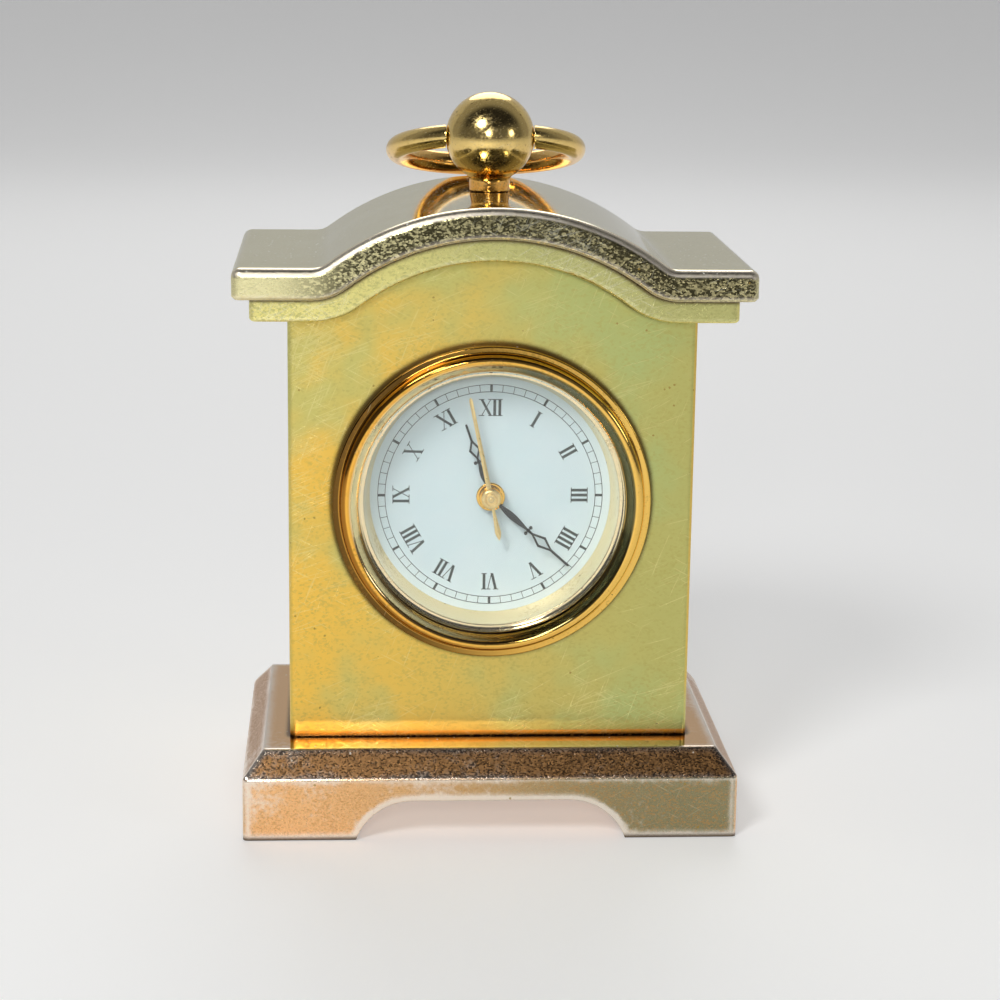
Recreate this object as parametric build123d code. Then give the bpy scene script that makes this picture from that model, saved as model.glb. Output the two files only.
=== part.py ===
from build123d import *
import os
import math

os.makedirs("parts", exist_ok=True)

# Pendulette clock: a small brass mantel clock case with a ring handle on a ball finial, and a push-fit
# quartz insert that holds crystal, dial, hands and movement. Lengths in mm, angles in degrees.
# X is to the clock's left and right, the dial looks along -Y, and Z is up from the table.

# General clearances
overrun = 1.0  # how far a cut runs past the face it opens
seat_play = 0.02  # between fixed pieces that are pressed or screwed together
pivot_play = 0.03  # radial, for a pivot in its hole
pipe_play = 0.06  # radial, between the nested hand pipes
layer_gap = 0.15  # between wheels that pass each other

# Plinth
plinth_width = 42.4
plinth_depth = 28.2
plinth_skirt_height = 5.4
plinth_bevel_run = 1.8
plinth_bevel_rise = 2.2
plinth_corner_round = 0.45
plinth_edge_round = 0.3
arch_width = 23.1
arch_height = 3.45
arch_corner_run = 4.9

# Case body
body_width = 34.5
body_depth = 18.3
body_shoulder_height = 36.8
body_edge_round = 0.5
crest_rise = 5.05
crest_radius = 18.6
sweep_radius = 6.6
dial_height = 28.6
insert_bore_radius = 12.8

# Cornice: a moulding and a cap that follow the arch of the body
moulding_thickness = 1.95
moulding_overhang = 3.05
moulding_corner_round = 0.6
moulding_bottom_round = 0.35
cap_thickness = 2.6
cap_overhang = 4.45
cap_depth_trim = 0.3  # the cap is this much shallower in front than at its ends
cap_top_round = 0.75
cap_bottom_bevel = 0.25
cap_corner_round = 0.8
rim_slope_limit = 60  # a face that tilts more than this from level isn't top or underside

# Screws and pins that hold the case together
base_screw_spacing = 10.0
base_screw_radius = 1.25
base_screw_head_radius = 2.1
base_screw_head_height = 1.1
base_screw_grip = 5.0
screw_slot_width = 0.4
screw_slot_depth = 0.5
dowel_spacing = 17.0
dowel_radius = 0.75
dowel_body_depth = 3.0
dowel_cap_depth = 1.2

# Finial and ring handle
ball_radius = 3.83
ball_rise = 4.6  # from the crest of the cap to the middle of the ball
neck_radius = 1.75
neck_round = 0.5
stud_radius = 1.25
stud_grip = 4.0
screw_end_gap = 0.5  # left under the end of a screw or stud
ring_radius = 7.85
ring_wire_radius = 1.0
ring_pin_radius = 0.55
ring_pin_depth = 1.4
ring_ball_gap = 0.12
ring_rest_gap = 0.25

# Insert: bezel, crystal and cup, seen from the front
bezel_radius = 13.5
flange_thickness = 1.0
flange_lip_bevel = 0.15
bead_outer_radius = 12.95
bead_crest_radius = 12.25
bead_height = 0.85
bead_share = 0.72  # height of the bead halfway out from its crest
crystal_rim_radius = 11.35
crystal_rim_drop = 0.2
crystal_thickness = 0.9
crystal_ledge = 0.45
crystal_bevel = 0.12
dial_window_radius = 10.35
dial_depth = 3.5
dial_radius = 11.4
dial_thickness = 0.4
dial_foot_radius = 0.35
dial_foot_angles = (100, 280)
dial_foot_distance = 9.0
cup_wall = 0.3
cup_front_radius = 12.0
cup_rear_radius = 10.8
grip_length = 2.6
grip_rib_count = 12
grip_rib_height = 0.35
grip_rib_radius = 0.6
grip_play = 0.08
cover_thickness = 0.5
cover_rim_depth = 0.8
cover_rim_wall = 0.4
pry_notch_width = 1.4
cover_edge_bevel = 0.2

# Hands
hour_hand_length = 6.35
minute_hand_length = 8.95
second_hand_length = 8.5
second_tail_length = 3.75
hand_thickness = 0.15
hand_line_width = 0.19
hour_hand_drop = 0.4  # from the dial up to the underside of the hour hand
hand_gap = 0.3
hour_collet_radius = 1.23
minute_collet_radius = 1.0
second_hub_radius = 0.83
second_hub_height = 0.3
second_hand_width = 0.42
second_tip_width = 0.3
hour_hand_angle = 340.96
minute_hand_angle = 131.8
second_hand_angle = 348.0
hour_swell_width = 0.42
hour_collar_width = 0.9
hour_diamond_width = 1.0
minute_swell_width = 0.5
minute_collar_width = 0.95
minute_diamond_width = 1.07
hand_shares = {
    "swell": 0.32,
    "collar": 0.48,
    "diamond_foot": 0.53,
    "diamond_wide": 0.65,
    "diamond_head": 0.76,
    "lobe": 1.3,
}
second_hand_shares = {"flare": 0.85, "flare_width": 1.3}

# Movement
plate_radius = 9.75
plate_thickness = 1.6
bridge_thickness = 0.8
bridge_boss_radius = 1.2
pillar_radius = 0.8
wheel_thickness = 0.22
arbor_radius = 0.15
pivot_depth = 0.45
second_arbor_radius = 0.25
cannon_pipe_wall = 0.24
hour_pipe_wall = 0.18
train_distance = 3.8
motion_distance = 3.2
rotor_distance = 2.73
third_angle = 110
intermediate_angle = 340
rotor_angle = 300  # from the intermediate wheel to the rotor
minute_wheel_angle = 60
pillar_distance = 8.2
pillar_angles = (60, 150, 343)
bridge_screw_radius = 0.35
bridge_screw_head_radius = 0.6
bridge_screw_head_height = 0.25
bridge_screw_grip = 0.9

# Teeth: the pinion of each pair turns faster than its wheel
rotor_pinion_teeth = 6
intermediate_wheel_teeth = 36
intermediate_pinion_teeth = 6
seconds_wheel_teeth = 30
seconds_pinion_teeth = 6
third_wheel_teeth = 48
third_pinion_teeth = 6
centre_wheel_teeth = 45
cannon_pinion_teeth = 10
minute_wheel_teeth = 30
minute_pinion_teeth = 8
hour_wheel_teeth = 32
tooth_tip_modules = 0.95
tooth_root_modules = 1.25
tooth_outline_shares = ((-0.27, 0), (-0.12, 1), (0.12, 1), (0.27, 0))

# Stepping motor
magnet_radius = 0.7
stator_thickness = 0.5
stator_gap = 0.15
stator_ring_wall = 0.65
stator_arm_width = 1.0
coil_distance = 7.7
coil_angle = 290
coil_length = 7.2
coil_radius = 1.05
core_length = 9.0
core_width = 0.9
core_thickness = 0.5
core_pad_radius = 0.65
coil_clearance = 0.15

# Battery, circuit and crystal oscillator
battery_radius = 2.9
battery_height = 2.15
battery_distance = 6.7
battery_angle = 225
battery_clearance = 0.05
strap_width = 1.2
strap_thickness = 0.15
strap_post_radius = 0.6
strap_post_distance = 3.9
board_inner_radius = 5.0
board_outer_radius = 9.4
board_start_angle = 9
board_end_angle = 50
board_thickness = 0.2
chip_size = 1.8
chip_height = 0.5
can_radius = 0.75
can_length = 4.6
can_distance = 8.6
can_angle = 105

# Setting stem and crown
stem_radius = 0.35
stem_square_width = 0.5
stem_square_length = 2.6
clutch_radius = 0.9
clutch_length = 1.0
clutch_teeth = 10
clutch_tooth_depth = 0.25
clutch_distance = 7.6
crown_radius = 1.1
crown_gap = 0.25
crown_side_gap = 0.2  # between the crown and the wider front of the cup
crown_pull = 0.45
crown_bore_gap = 0.2  # left between the pulled crown and the bore of the case
crown_flute_count = 16
crown_flute_depth = 0.12
stem_tube_wall = 0.2

# Sizes that follow from the ones above
plinth_top = plinth_skirt_height + plinth_bevel_rise
shoulder_z = plinth_top + body_shoulder_height
crest_z = shoulder_z + crest_rise + moulding_thickness + cap_thickness
ball_z = crest_z + ball_rise
body_front = -body_depth / 2
bezel_front = body_front - flange_thickness
cap_depth = body_depth + 2 * (cap_overhang - cap_depth_trim)
sweep_turn = math.degrees(math.acos(1 - crest_rise / (crest_radius + sweep_radius)))
sweep_start = (crest_radius + sweep_radius) * math.sin(math.radians(sweep_turn))

# Depths inside the insert, measured from the front face of the bezel's flange, positive to the front
crystal_front = -crystal_rim_drop
crystal_back = crystal_front - crystal_thickness
dial_front = -dial_depth
dial_back = dial_front - dial_thickness
hour_wheel_front = dial_back - layer_gap
hour_wheel_back = hour_wheel_front - wheel_thickness
minute_wheel_front = hour_wheel_back - layer_gap
minute_wheel_back = minute_wheel_front - wheel_thickness
plate_front = minute_wheel_back - layer_gap
plate_back = plate_front - plate_thickness
centre_wheel_front = plate_back - layer_gap
layer_pitch = wheel_thickness + layer_gap
third_wheel_front = centre_wheel_front - layer_pitch
seconds_wheel_front = third_wheel_front - layer_pitch
intermediate_wheel_front = seconds_wheel_front - layer_pitch
bridge_front = intermediate_wheel_front - layer_pitch
bridge_back = bridge_front - bridge_thickness
cover_rim_front = bridge_back - bridge_screw_head_height - layer_gap
cup_back = cover_rim_front - cover_rim_depth
cover_front = cup_back - seat_play
stem_level = (plate_front + plate_back) / 2
cup_step_back = stem_level + crown_radius + crown_side_gap
cup_step_front = cup_step_back + cup_wall
crown_length = insert_bore_radius - cup_rear_radius - crown_gap - crown_pull - crown_bore_gap

# The nested pipes of the hands
cannon_bore = second_arbor_radius + pipe_play
cannon_pipe_radius = cannon_bore + cannon_pipe_wall
hour_bore = cannon_pipe_radius + pipe_play
hour_pipe_radius = hour_bore + hour_pipe_wall
hour_hand_back = dial_front + hour_hand_drop
hour_hand_front = hour_hand_back + hand_thickness
minute_hand_back = hour_hand_front + hand_gap
minute_hand_front = minute_hand_back + hand_thickness
second_hand_back = minute_hand_front + hand_gap
second_hand_front = second_hand_back + hand_thickness

# Modules that put each pair in mesh at its distance
rotor_module = 2 * rotor_distance / (rotor_pinion_teeth + intermediate_wheel_teeth)
seconds_module = 2 * train_distance / (intermediate_pinion_teeth + seconds_wheel_teeth)
third_module = 2 * train_distance / (seconds_pinion_teeth + third_wheel_teeth)
centre_module = 2 * train_distance / (third_pinion_teeth + centre_wheel_teeth)
cannon_module = 2 * motion_distance / (cannon_pinion_teeth + minute_wheel_teeth)
hour_module = 2 * motion_distance / (minute_pinion_teeth + hour_wheel_teeth)


def polar(distance, angle):
    """The point at a distance and an angle from the middle of the dial, seen from the front."""
    return Vector(distance * math.cos(math.radians(angle)), distance * math.sin(math.radians(angle)))


third_place = polar(train_distance, third_angle)
intermediate_place = polar(train_distance, intermediate_angle)
rotor_place = intermediate_place + polar(rotor_distance, rotor_angle)
minute_wheel_place = polar(motion_distance, minute_wheel_angle)
battery_place = polar(battery_distance, battery_angle)
coil_place = polar(coil_distance, coil_angle)
coil_along = polar(core_length / 2, coil_angle + 90)
core_ends = (coil_place - coil_along, coil_place + coil_along)
elbow_step = polar(coil_radius + coil_clearance + stator_arm_width / 2, coil_angle)
pillars = [polar(pillar_distance, angle) for angle in pillar_angles]
strap_post = battery_place + polar(strap_post_distance, battery_angle - 90)


def rod(radius, front, back, place=Vector(0, 0)):
    """A round bar along the insert's axis, from its front level down to its back level."""
    centre = Pos(place.X, place.Y, (front + back) / 2)
    return centre * Cylinder(radius, front - back)


def tube(radius, bore, front, back):
    return rod(radius, front, back) - rod(bore, front + overrun, back - overrun)


def sheet(outline, front, thickness):
    """A flat piece cut to an outline, its front face at the given level."""
    return Pos(0, 0, front - thickness) * extrude(outline, amount=thickness)


def bar(start, end, width, front, thickness):
    """A flat strip between two points, seen from the front."""
    run = end - start
    turn = math.degrees(math.atan2(run.Y, run.X))
    middle = (start + end) * 0.5
    strip = Rectangle(run.length, width)
    return Pos(0, 0, front - thickness) * extrude(Pos(middle.X, middle.Y) * Rot(0, 0, turn) * strip, amount=thickness)


# Case


def arch_edges(offset, half_width):
    """The arched top line of the body, moved outward by an offset, from left to right."""
    level = shoulder_z + offset
    sweep_height = shoulder_z + sweep_radius
    crest_centre = shoulder_z + crest_rise - crest_radius
    left_sweep = CenterArc((-sweep_start, sweep_height), sweep_radius - offset, 270, sweep_turn)
    crest = CenterArc((0, crest_centre), crest_radius + offset, 90 + sweep_turn, -2 * sweep_turn)
    right_sweep = CenterArc((sweep_start, sweep_height), sweep_radius - offset, 270 - sweep_turn, sweep_turn)
    left = Line((-half_width, level), (-sweep_start, level))
    right = Line((sweep_start, level), (half_width, level))
    return [left, left_sweep, crest, right_sweep, right]


def arched_prism(low_edges, high_edges, half_width, low, high, depth):
    """A solid between a lower line and an upper line, both seen from the front, that deep along Y."""
    left = Line((-half_width, low), (-half_width, high))
    right = Line((half_width, low), (half_width, high))
    outline = make_face(low_edges + high_edges + [left, right])
    return extrude(Plane.XZ * outline, amount=depth / 2, both=True)


def upright_edges(solid):
    return solid.edges().filter_by(Axis.Z)


def plinth():
    skirt = Pos(0, 0, plinth_skirt_height / 2) * Box(plinth_width, plinth_depth, plinth_skirt_height)
    slope_base = Pos(0, 0, plinth_skirt_height) * Rectangle(plinth_width, plinth_depth)
    top_width = plinth_width - 2 * plinth_bevel_run
    top_depth = plinth_depth - 2 * plinth_bevel_run
    slope_top = Pos(0, 0, plinth_top) * Rectangle(top_width, top_depth)
    block = skirt + loft([slope_base, slope_top], ruled=True)
    block = fillet(upright_edges(block), plinth_corner_round)
    ridge = block.edges().filter_by_position(Axis.Z, plinth_skirt_height, plinth_skirt_height)
    block = fillet(ridge, plinth_edge_round)
    corner_centre = arch_width / 2 - arch_corner_run
    corner_radius = (arch_corner_run**2 + arch_height**2) / (2 * arch_height)
    left_corner = RadiusArc((-arch_width / 2, 0), (-corner_centre, arch_height), corner_radius)
    right_corner = RadiusArc((corner_centre, arch_height), (arch_width / 2, 0), corner_radius)
    roof = Line((-corner_centre, arch_height), (corner_centre, arch_height))
    floor = Line((-arch_width / 2, 0), (arch_width / 2, 0))
    arch = make_face([left_corner, roof, right_corner, floor])
    block -= extrude(Plane.XZ * arch, amount=plinth_depth, both=True)
    for x in base_screw_places():
        block -= Pos(x, 0, plinth_top / 2) * Cylinder(base_screw_radius + seat_play, plinth_top + overrun)
        head_recess = base_screw_head_height + overrun
        head_middle = arch_height + base_screw_head_height - head_recess / 2
        block -= Pos(x, 0, head_middle) * Cylinder(base_screw_head_radius + seat_play, head_recess)
    return block


def base_screw_places():
    """Where the base screws stand across the clock, inside the roof of the plinth's arch."""
    return (-base_screw_spacing / 2, base_screw_spacing / 2)


def case_body():
    half = body_width / 2
    bottom = [Line((-half, plinth_top), (half, plinth_top))]
    block = arched_prism(bottom, arch_edges(0, half), half, plinth_top, shoulder_z, body_depth)
    block = fillet(upright_edges(block), body_edge_round)
    bore = Cylinder(insert_bore_radius, body_depth + 2 * overrun)
    block -= Pos(0, 0, dial_height) * Rot(90, 0, 0) * bore
    for x in base_screw_places():
        depth = base_screw_grip + overrun
        block -= Pos(x, 0, plinth_top + base_screw_grip - depth / 2) * Cylinder(base_screw_radius + seat_play, depth)
    stud_depth = stud_grip + overrun
    crown_top = shoulder_z + crest_rise
    block -= Pos(0, 0, crown_top + overrun - stud_depth / 2) * Cylinder(stud_radius + seat_play, stud_depth)
    return block - dowel_shapes(dowel_radius + seat_play)


def dowel_shapes(radius):
    """The two upright pins that keep body, moulding and cap in line, or their holes."""
    shapes = []
    for x in (-dowel_spacing / 2, dowel_spacing / 2):
        drop = crest_radius - math.sqrt(crest_radius**2 - x**2)
        seat = shoulder_z + crest_rise - drop
        low = seat - dowel_body_depth
        high = seat + moulding_thickness + dowel_cap_depth
        shapes.append(Pos(x, 0, (low + high) / 2) * Cylinder(radius, high - low))
    return shapes


def cornice_layer(low_offset, high_offset, overhang, depth):
    half = body_width / 2 + overhang
    low = arch_edges(low_offset, half)
    high = arch_edges(high_offset, half)
    return arched_prism(low, high, half, shoulder_z + low_offset, shoulder_z + high_offset, depth)


def drilled_for_stud(layer):
    middle = shoulder_z + crest_rise + (moulding_thickness + cap_thickness) / 2
    length = moulding_thickness + cap_thickness + 2 * overrun
    return layer - Pos(0, 0, middle) * Cylinder(stud_radius + seat_play, length)


def cornice_moulding():
    depth = body_depth + 2 * moulding_overhang
    layer = cornice_layer(0, moulding_thickness, moulding_overhang, depth)
    layer = fillet(upright_edges(layer), moulding_corner_round)
    layer = fillet(rim_edges(layer, -1), moulding_bottom_round)
    return drilled_for_stud(layer) - dowel_shapes(dowel_radius + seat_play)


def rim_edges(solid, upward):
    """The edges that run round the top (1) or the underside (-1) of a solid."""
    faces = [face for face in solid.faces() if face.normal_at().Z * upward > math.cos(math.radians(rim_slope_limit))]
    edges = [edge for face in faces for edge in face.edges()]
    return [edge for edge in edges if sum(edge.is_same(other) for other in edges) == 1]


def cornice_cap():
    top = moulding_thickness + cap_thickness
    layer = cornice_layer(moulding_thickness, top, cap_overhang, cap_depth)
    layer = fillet(upright_edges(layer), cap_corner_round)
    layer = fillet(rim_edges(layer, 1), cap_top_round)
    layer = chamfer(rim_edges(layer, -1), cap_bottom_bevel)
    return drilled_for_stud(layer) - dowel_shapes(dowel_radius + seat_play)


def slotted_screw(shank_radius, shank_length, head_radius, head_height, slot_width, slot_depth):
    """A cheese-head screw that points up, the underside of its head at the origin."""
    shank = Pos(0, 0, shank_length / 2) * Cylinder(shank_radius, shank_length)
    head = Pos(0, 0, -head_height / 2) * Cylinder(head_radius, head_height)
    slot = Pos(0, 0, -head_height) * Box(2 * (head_radius + overrun), slot_width, 2 * slot_depth)
    return shank + head - slot


def base_screws():
    length = plinth_top - arch_height - base_screw_head_height + base_screw_grip - screw_end_gap
    sizes = (base_screw_radius, length, base_screw_head_radius, base_screw_head_height)
    screw = slotted_screw(*sizes, screw_slot_width, screw_slot_depth)
    height = arch_height + base_screw_head_height
    return Compound([Pos(x, 0, height) * screw for x in base_screw_places()])


def cornice_dowels():
    return Compound(dowel_shapes(dowel_radius))


def ball_finial():
    """Ball, neck and threaded stud in one turned piece, with a blind hole each side for the ring's ends."""
    neck_height = ball_rise
    neck = Pos(0, 0, crest_z + neck_height / 2) * Cylinder(neck_radius, neck_height)
    ball = Pos(0, 0, ball_z) * Sphere(ball_radius)
    turned = neck + ball
    joint = turned.edges().filter_by(GeomType.CIRCLE).sort_by(Axis.Z)[1]
    turned = fillet(joint, neck_round)
    stud_length = stud_grip - screw_end_gap + moulding_thickness + cap_thickness
    turned += Pos(0, 0, crest_z - stud_length / 2) * Cylinder(stud_radius, stud_length)
    hole_depth = ring_pin_depth + ring_ball_gap + overrun
    for side in (-1, 1):
        x = side * (ball_radius + overrun - hole_depth / 2)
        turned -= Pos(x, 0, ball_z) * Rot(0, 90, 0) * Cylinder(ring_pin_radius + pipe_play, hole_depth)
    return turned


def ring_fold_angle():
    """How far below level the ring lies when it rests over the edge of the cap."""
    edge = Vector(cap_depth / 2 - cap_top_round, crest_z - ball_z)
    below = math.degrees(math.atan2(-edge.Y, edge.X))
    return below - math.degrees(math.asin((ring_wire_radius + ring_rest_gap) / edge.length))


def ring_handle():
    """An open ring that swings on two pins in the ball, folded back as it rests."""
    set_back = math.sqrt(ring_radius**2 - ball_radius**2)
    ring = Pos(0, set_back, 0) * Torus(ring_radius, ring_wire_radius)
    ring -= Sphere(ball_radius + ring_ball_gap)
    pin_length = ring_pin_depth + ring_wire_radius
    for side in (-1, 1):
        x = side * (ball_radius - ring_pin_depth + pin_length / 2)
        ring += Pos(x, 0, 0) * Rot(0, 90, 0) * Cylinder(ring_pin_radius, pin_length)
    return Pos(0, 0, ball_z) * Rot(-ring_fold_angle(), 0, 0) * ring


# Insert: bezel, crystal, cup and cover


def turned_piece(points):
    """A piece turned about the insert's axis from the corners of its section, as (radius, level)."""
    section = make_face(Polyline([(radius, level) for radius, level in points], close=True))
    return revolve(Plane.XZ * section, Axis.Z)


def bezel():
    """Flange, raised bead, seat for the crystal and the sloping wall down to the dial."""
    rim = crystal_rim_radius
    skirt = cup_front_radius - cup_wall - seat_play
    ledge = rim - crystal_ledge
    bead_shoulder = (bead_crest_radius + bead_outer_radius) / 2
    outer_bead = ThreePointArc(
        (bead_outer_radius, 0), (bead_shoulder, bead_height * bead_share), (bead_crest_radius, bead_height)
    )
    seat = Polyline([
        (bead_crest_radius, bead_height),
        (rim, crystal_front),
        (rim, crystal_back - seat_play),
        (ledge, crystal_back - seat_play),
        (dial_window_radius, dial_front),
        (skirt, dial_front),
        (skirt, -flange_thickness),
        (bezel_radius, -flange_thickness),
        (bezel_radius, -flange_lip_bevel),
        (bezel_radius - flange_lip_bevel, 0),
        (bead_outer_radius, 0),
    ])
    section = make_face([outer_bead, seat])
    return revolve(Plane.XZ * section, Axis.Z)


def crystal():
    disc = rod(crystal_rim_radius - seat_play, crystal_front, crystal_back)
    top = disc.edges().filter_by(GeomType.CIRCLE).sort_by(Axis.Z)[-1]
    return chamfer(top, crystal_bevel)


def insert_cup():
    """The stepped cup behind the flange, open at the back, with a hole in its side for the stem."""
    shell = turned_piece([
        (cup_front_radius - cup_wall, -flange_thickness - seat_play),
        (cup_front_radius, -flange_thickness - seat_play),
        (cup_front_radius, cup_step_back),
        (cup_rear_radius, cup_step_back),
        (cup_rear_radius, cup_back),
        (cup_rear_radius - cup_wall, cup_back),
        (cup_rear_radius - cup_wall, cup_step_front),
        (cup_front_radius - cup_wall, cup_step_front),
    ])
    return shell - stem_hole()


def stem_hole():
    radius = stem_radius + stem_tube_wall + pipe_play
    return along_stem(radius, plate_radius - overrun, cup_rear_radius + overrun)


def along_stem(radius, start, end):
    """A round bar along the setting stem, from one distance to another from the insert's axis."""
    return Pos((start + end) / 2, 0, stem_level) * Rot(0, 90, 0) * Cylinder(radius, end - start)


def grip_ring():
    """A split ring whose round ribs hold the insert in the bore of the case."""
    outer = insert_bore_radius - grip_play
    front = -flange_thickness - seat_play
    back = front - grip_length
    band = Circle(outer - grip_rib_height)
    for index in range(grip_rib_count):
        place = polar(outer - grip_rib_radius, 360 * (index + 1 / 2) / grip_rib_count)
        band += Pos(place.X, place.Y) * Circle(grip_rib_radius)
    band -= Circle(cup_front_radius + seat_play)
    split = Pos(0, outer) * Rectangle(grip_rib_radius, 2 * (outer - cup_front_radius) + overrun)
    return sheet(band - split, front, front - back)


def dial():
    """The dial plate with its two feet, bored for the hour pipe."""
    plate = rod(dial_radius, dial_front, dial_back)
    for angle in dial_foot_angles:
        foot = polar(dial_foot_distance, angle)
        plate += rod(dial_foot_radius, dial_front - dial_thickness / 2, plate_front - plate_thickness / 2, foot)
    return plate - rod(hour_pipe_radius + pipe_play, dial_front + overrun, dial_back - overrun)


def movement_holder():
    outer = cup_rear_radius - cup_wall - seat_play
    inner = plate_radius + seat_play
    front = dial_back - seat_play
    ring = tube(outer, inner, front, cover_rim_front + seat_play)
    return ring - stem_hole()


def insert_back():
    """The cover: a disc with a rim that slips into the end of the cup."""
    outer = cup_rear_radius - cup_wall - pipe_play
    rim = tube(outer, outer - cover_rim_wall, cover_rim_front, cover_front)
    disc = rod(cup_rear_radius, cover_front, cover_front - cover_thickness)
    edge = disc.edges().filter_by(GeomType.CIRCLE).sort_by(Axis.Z)[0]
    disc = chamfer(edge, cover_edge_bevel)
    pry_notch = Box(pry_notch_width, cover_thickness, cover_thickness / 2)
    return disc + rim - Pos(0, -cup_rear_radius, cover_front - cover_thickness / 4) * pry_notch


# Hands


def hand_outline(length, root, swell_width, collar_width, diamond_width):
    """A slim hand that points up, with a lobed collar and an open diamond below its point."""
    swell = swell_width / 2
    line = hand_line_width / 2
    collar = length * hand_shares["collar"]
    foot = length * hand_shares["diamond_foot"]
    wide = length * hand_shares["diamond_wide"]
    head = length * hand_shares["diamond_head"]
    middle = length * hand_shares["swell"]
    half = diamond_width / 2
    blade = make_face(Polyline([
        (-line, root), (-swell, middle), (-line, collar), (-line, foot), (-half, wide), (-line, head),
        (-line, length), (line, length), (line, head), (half, wide), (line, foot), (line, collar),
        (swell, middle), (line, root),
    ], close=True))
    hole_half = half - 2 * line
    hole_foot = foot + 2 * line
    hole_head = head - 3 * line
    hole = make_face(Polyline([(-hole_half, wide), (0, hole_head), (hole_half, wide), (0, hole_foot)], close=True))
    lobes = Circle(line * 2)
    lobe_reach = collar_width / 2 - line
    for side in (-1, 1):
        lobes += Pos(side * lobe_reach, 0) * Circle(line * hand_shares["lobe"])
    lobes += Rectangle(2 * lobe_reach, line)
    return blade - hole + Pos(0, collar) * lobes


def turned_hand(outline, angle, front):
    """A hand cut from its outline and set to its angle, clockwise from twelve."""
    return Rot(0, 0, -angle) * sheet(outline, front, hand_thickness)


def hour_hand():
    widths = (hour_swell_width, hour_collar_width, hour_diamond_width)
    outline = hand_outline(hour_hand_length, cannon_pipe_radius, *widths)
    outline += Circle(hour_collet_radius)
    outline -= Circle(hour_pipe_radius)
    return turned_hand(outline, hour_hand_angle, hour_hand_front)


def minute_hand():
    widths = (minute_swell_width, minute_collar_width, minute_diamond_width)
    outline = hand_outline(minute_hand_length, second_arbor_radius, *widths)
    outline += Circle(minute_collet_radius)
    outline -= Circle(cannon_pipe_radius)
    return turned_hand(outline, minute_hand_angle, minute_hand_front)


def hour_collet():
    front = hour_hand_front + hand_gap / 2
    return tube(hour_collet_radius, hour_pipe_radius, front, hour_hand_front)


def minute_collet():
    front = minute_hand_front + hand_gap / 2
    return tube(minute_collet_radius, cannon_pipe_radius, front, minute_hand_front)


def second_hand():
    """A straight hand with a ridge along it, a flared tail and a round hub on the seconds arbor."""
    root = second_hand_width / 2
    tip = second_tip_width / 2
    tail = -second_tail_length
    flare = tail * second_hand_shares["flare"]
    flare_half = second_hand_width * second_hand_shares["flare_width"] / 2
    outline = make_face(Polyline([
        (-root, 0), (-tip, second_hand_length - tip), (0, second_hand_length), (tip, second_hand_length - tip),
        (root, 0), (tip, -second_hub_radius), (flare_half, flare), (0, tail), (-flare_half, flare),
        (-tip, -second_hub_radius),
    ], close=True))
    blade = turned_hand(outline, second_hand_angle, second_hand_front)
    hub_front = second_hand_front + second_hub_height
    hub = rod(second_hub_radius, hub_front, second_hand_back)
    return hub + blade - rod(second_arbor_radius, hub_front + overrun, second_hand_back - overrun)


# Movement: wheels


def toothed(teeth, module, front, thickness, tooth_at=0):
    """A wheel or pinion with straight-flanked teeth, one tooth centred at the given angle."""
    pitch = 360 / teeth
    root = module * (teeth / 2 - tooth_root_modules)
    height = module * (tooth_root_modules + tooth_tip_modules)
    points = []
    for index in range(teeth):
        for turn_share, height_share in tooth_outline_shares:
            angle = tooth_at + (index + turn_share) * pitch
            points.append(polar(root + height * height_share, angle))
    return sheet(make_face(Polyline(points, close=True)), front, thickness)


def gap_at(angle, teeth):
    """The angle of the tooth that leaves a gap at the given angle."""
    return angle + 180 / teeth


def moved(shape, place):
    return Pos(place.X, place.Y, 0) * shape


def hour_wheel():
    """The hour wheel and the pipe that carries the hour hand through the dial."""
    tooth = gap_at(minute_wheel_angle, hour_wheel_teeth)
    wheel = toothed(hour_wheel_teeth, hour_module, hour_wheel_front, wheel_thickness, tooth)
    wheel += rod(hour_pipe_radius, hour_hand_front + hand_gap / 2, hour_wheel_back)
    return wheel - rod(hour_bore, hour_hand_front + overrun, hour_wheel_back - overrun)


def minute_wheel():
    facing = minute_wheel_angle + 180
    wheel = toothed(
        minute_wheel_teeth, cannon_module, minute_wheel_front, wheel_thickness, gap_at(facing, minute_wheel_teeth)
    )
    pinion_height = hour_wheel_front - minute_wheel_front
    wheel += toothed(minute_pinion_teeth, hour_module, hour_wheel_front, pinion_height, facing)
    wheel -= rod(second_arbor_radius + pivot_play, hour_wheel_front + overrun, minute_wheel_back - overrun)
    return moved(wheel, minute_wheel_place)


def centre_wheel():
    """The centre wheel with the long pipe whose end teeth are the cannon pinion."""
    wheel = toothed(centre_wheel_teeth, centre_module, centre_wheel_front, wheel_thickness, third_angle)
    wheel += rod(cannon_pipe_radius, minute_hand_front + hand_gap / 2, centre_wheel_front - wheel_thickness)
    wheel += toothed(cannon_pinion_teeth, cannon_module, minute_wheel_front, wheel_thickness, minute_wheel_angle)
    return wheel - rod(cannon_bore, minute_hand_front + overrun, centre_wheel_front - wheel_thickness - overrun)


def geared_arbor(wheel, pinion, place):
    """A wheel and a pinion on one arbor, with a pivot at each end in the plate and the bridge."""
    arbor = rod(arbor_radius, plate_back + pivot_depth, bridge_front - pivot_depth)
    return moved(arbor + wheel + pinion, place)


def third_wheel():
    facing = third_angle + 180
    wheel = toothed(
        third_wheel_teeth, third_module, third_wheel_front, wheel_thickness, gap_at(facing, third_wheel_teeth)
    )
    reach = centre_wheel_front - third_wheel_front
    pinion = toothed(
        third_pinion_teeth, centre_module, centre_wheel_front, reach, gap_at(facing, third_pinion_teeth)
    )
    return geared_arbor(wheel, pinion, third_place)


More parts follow.
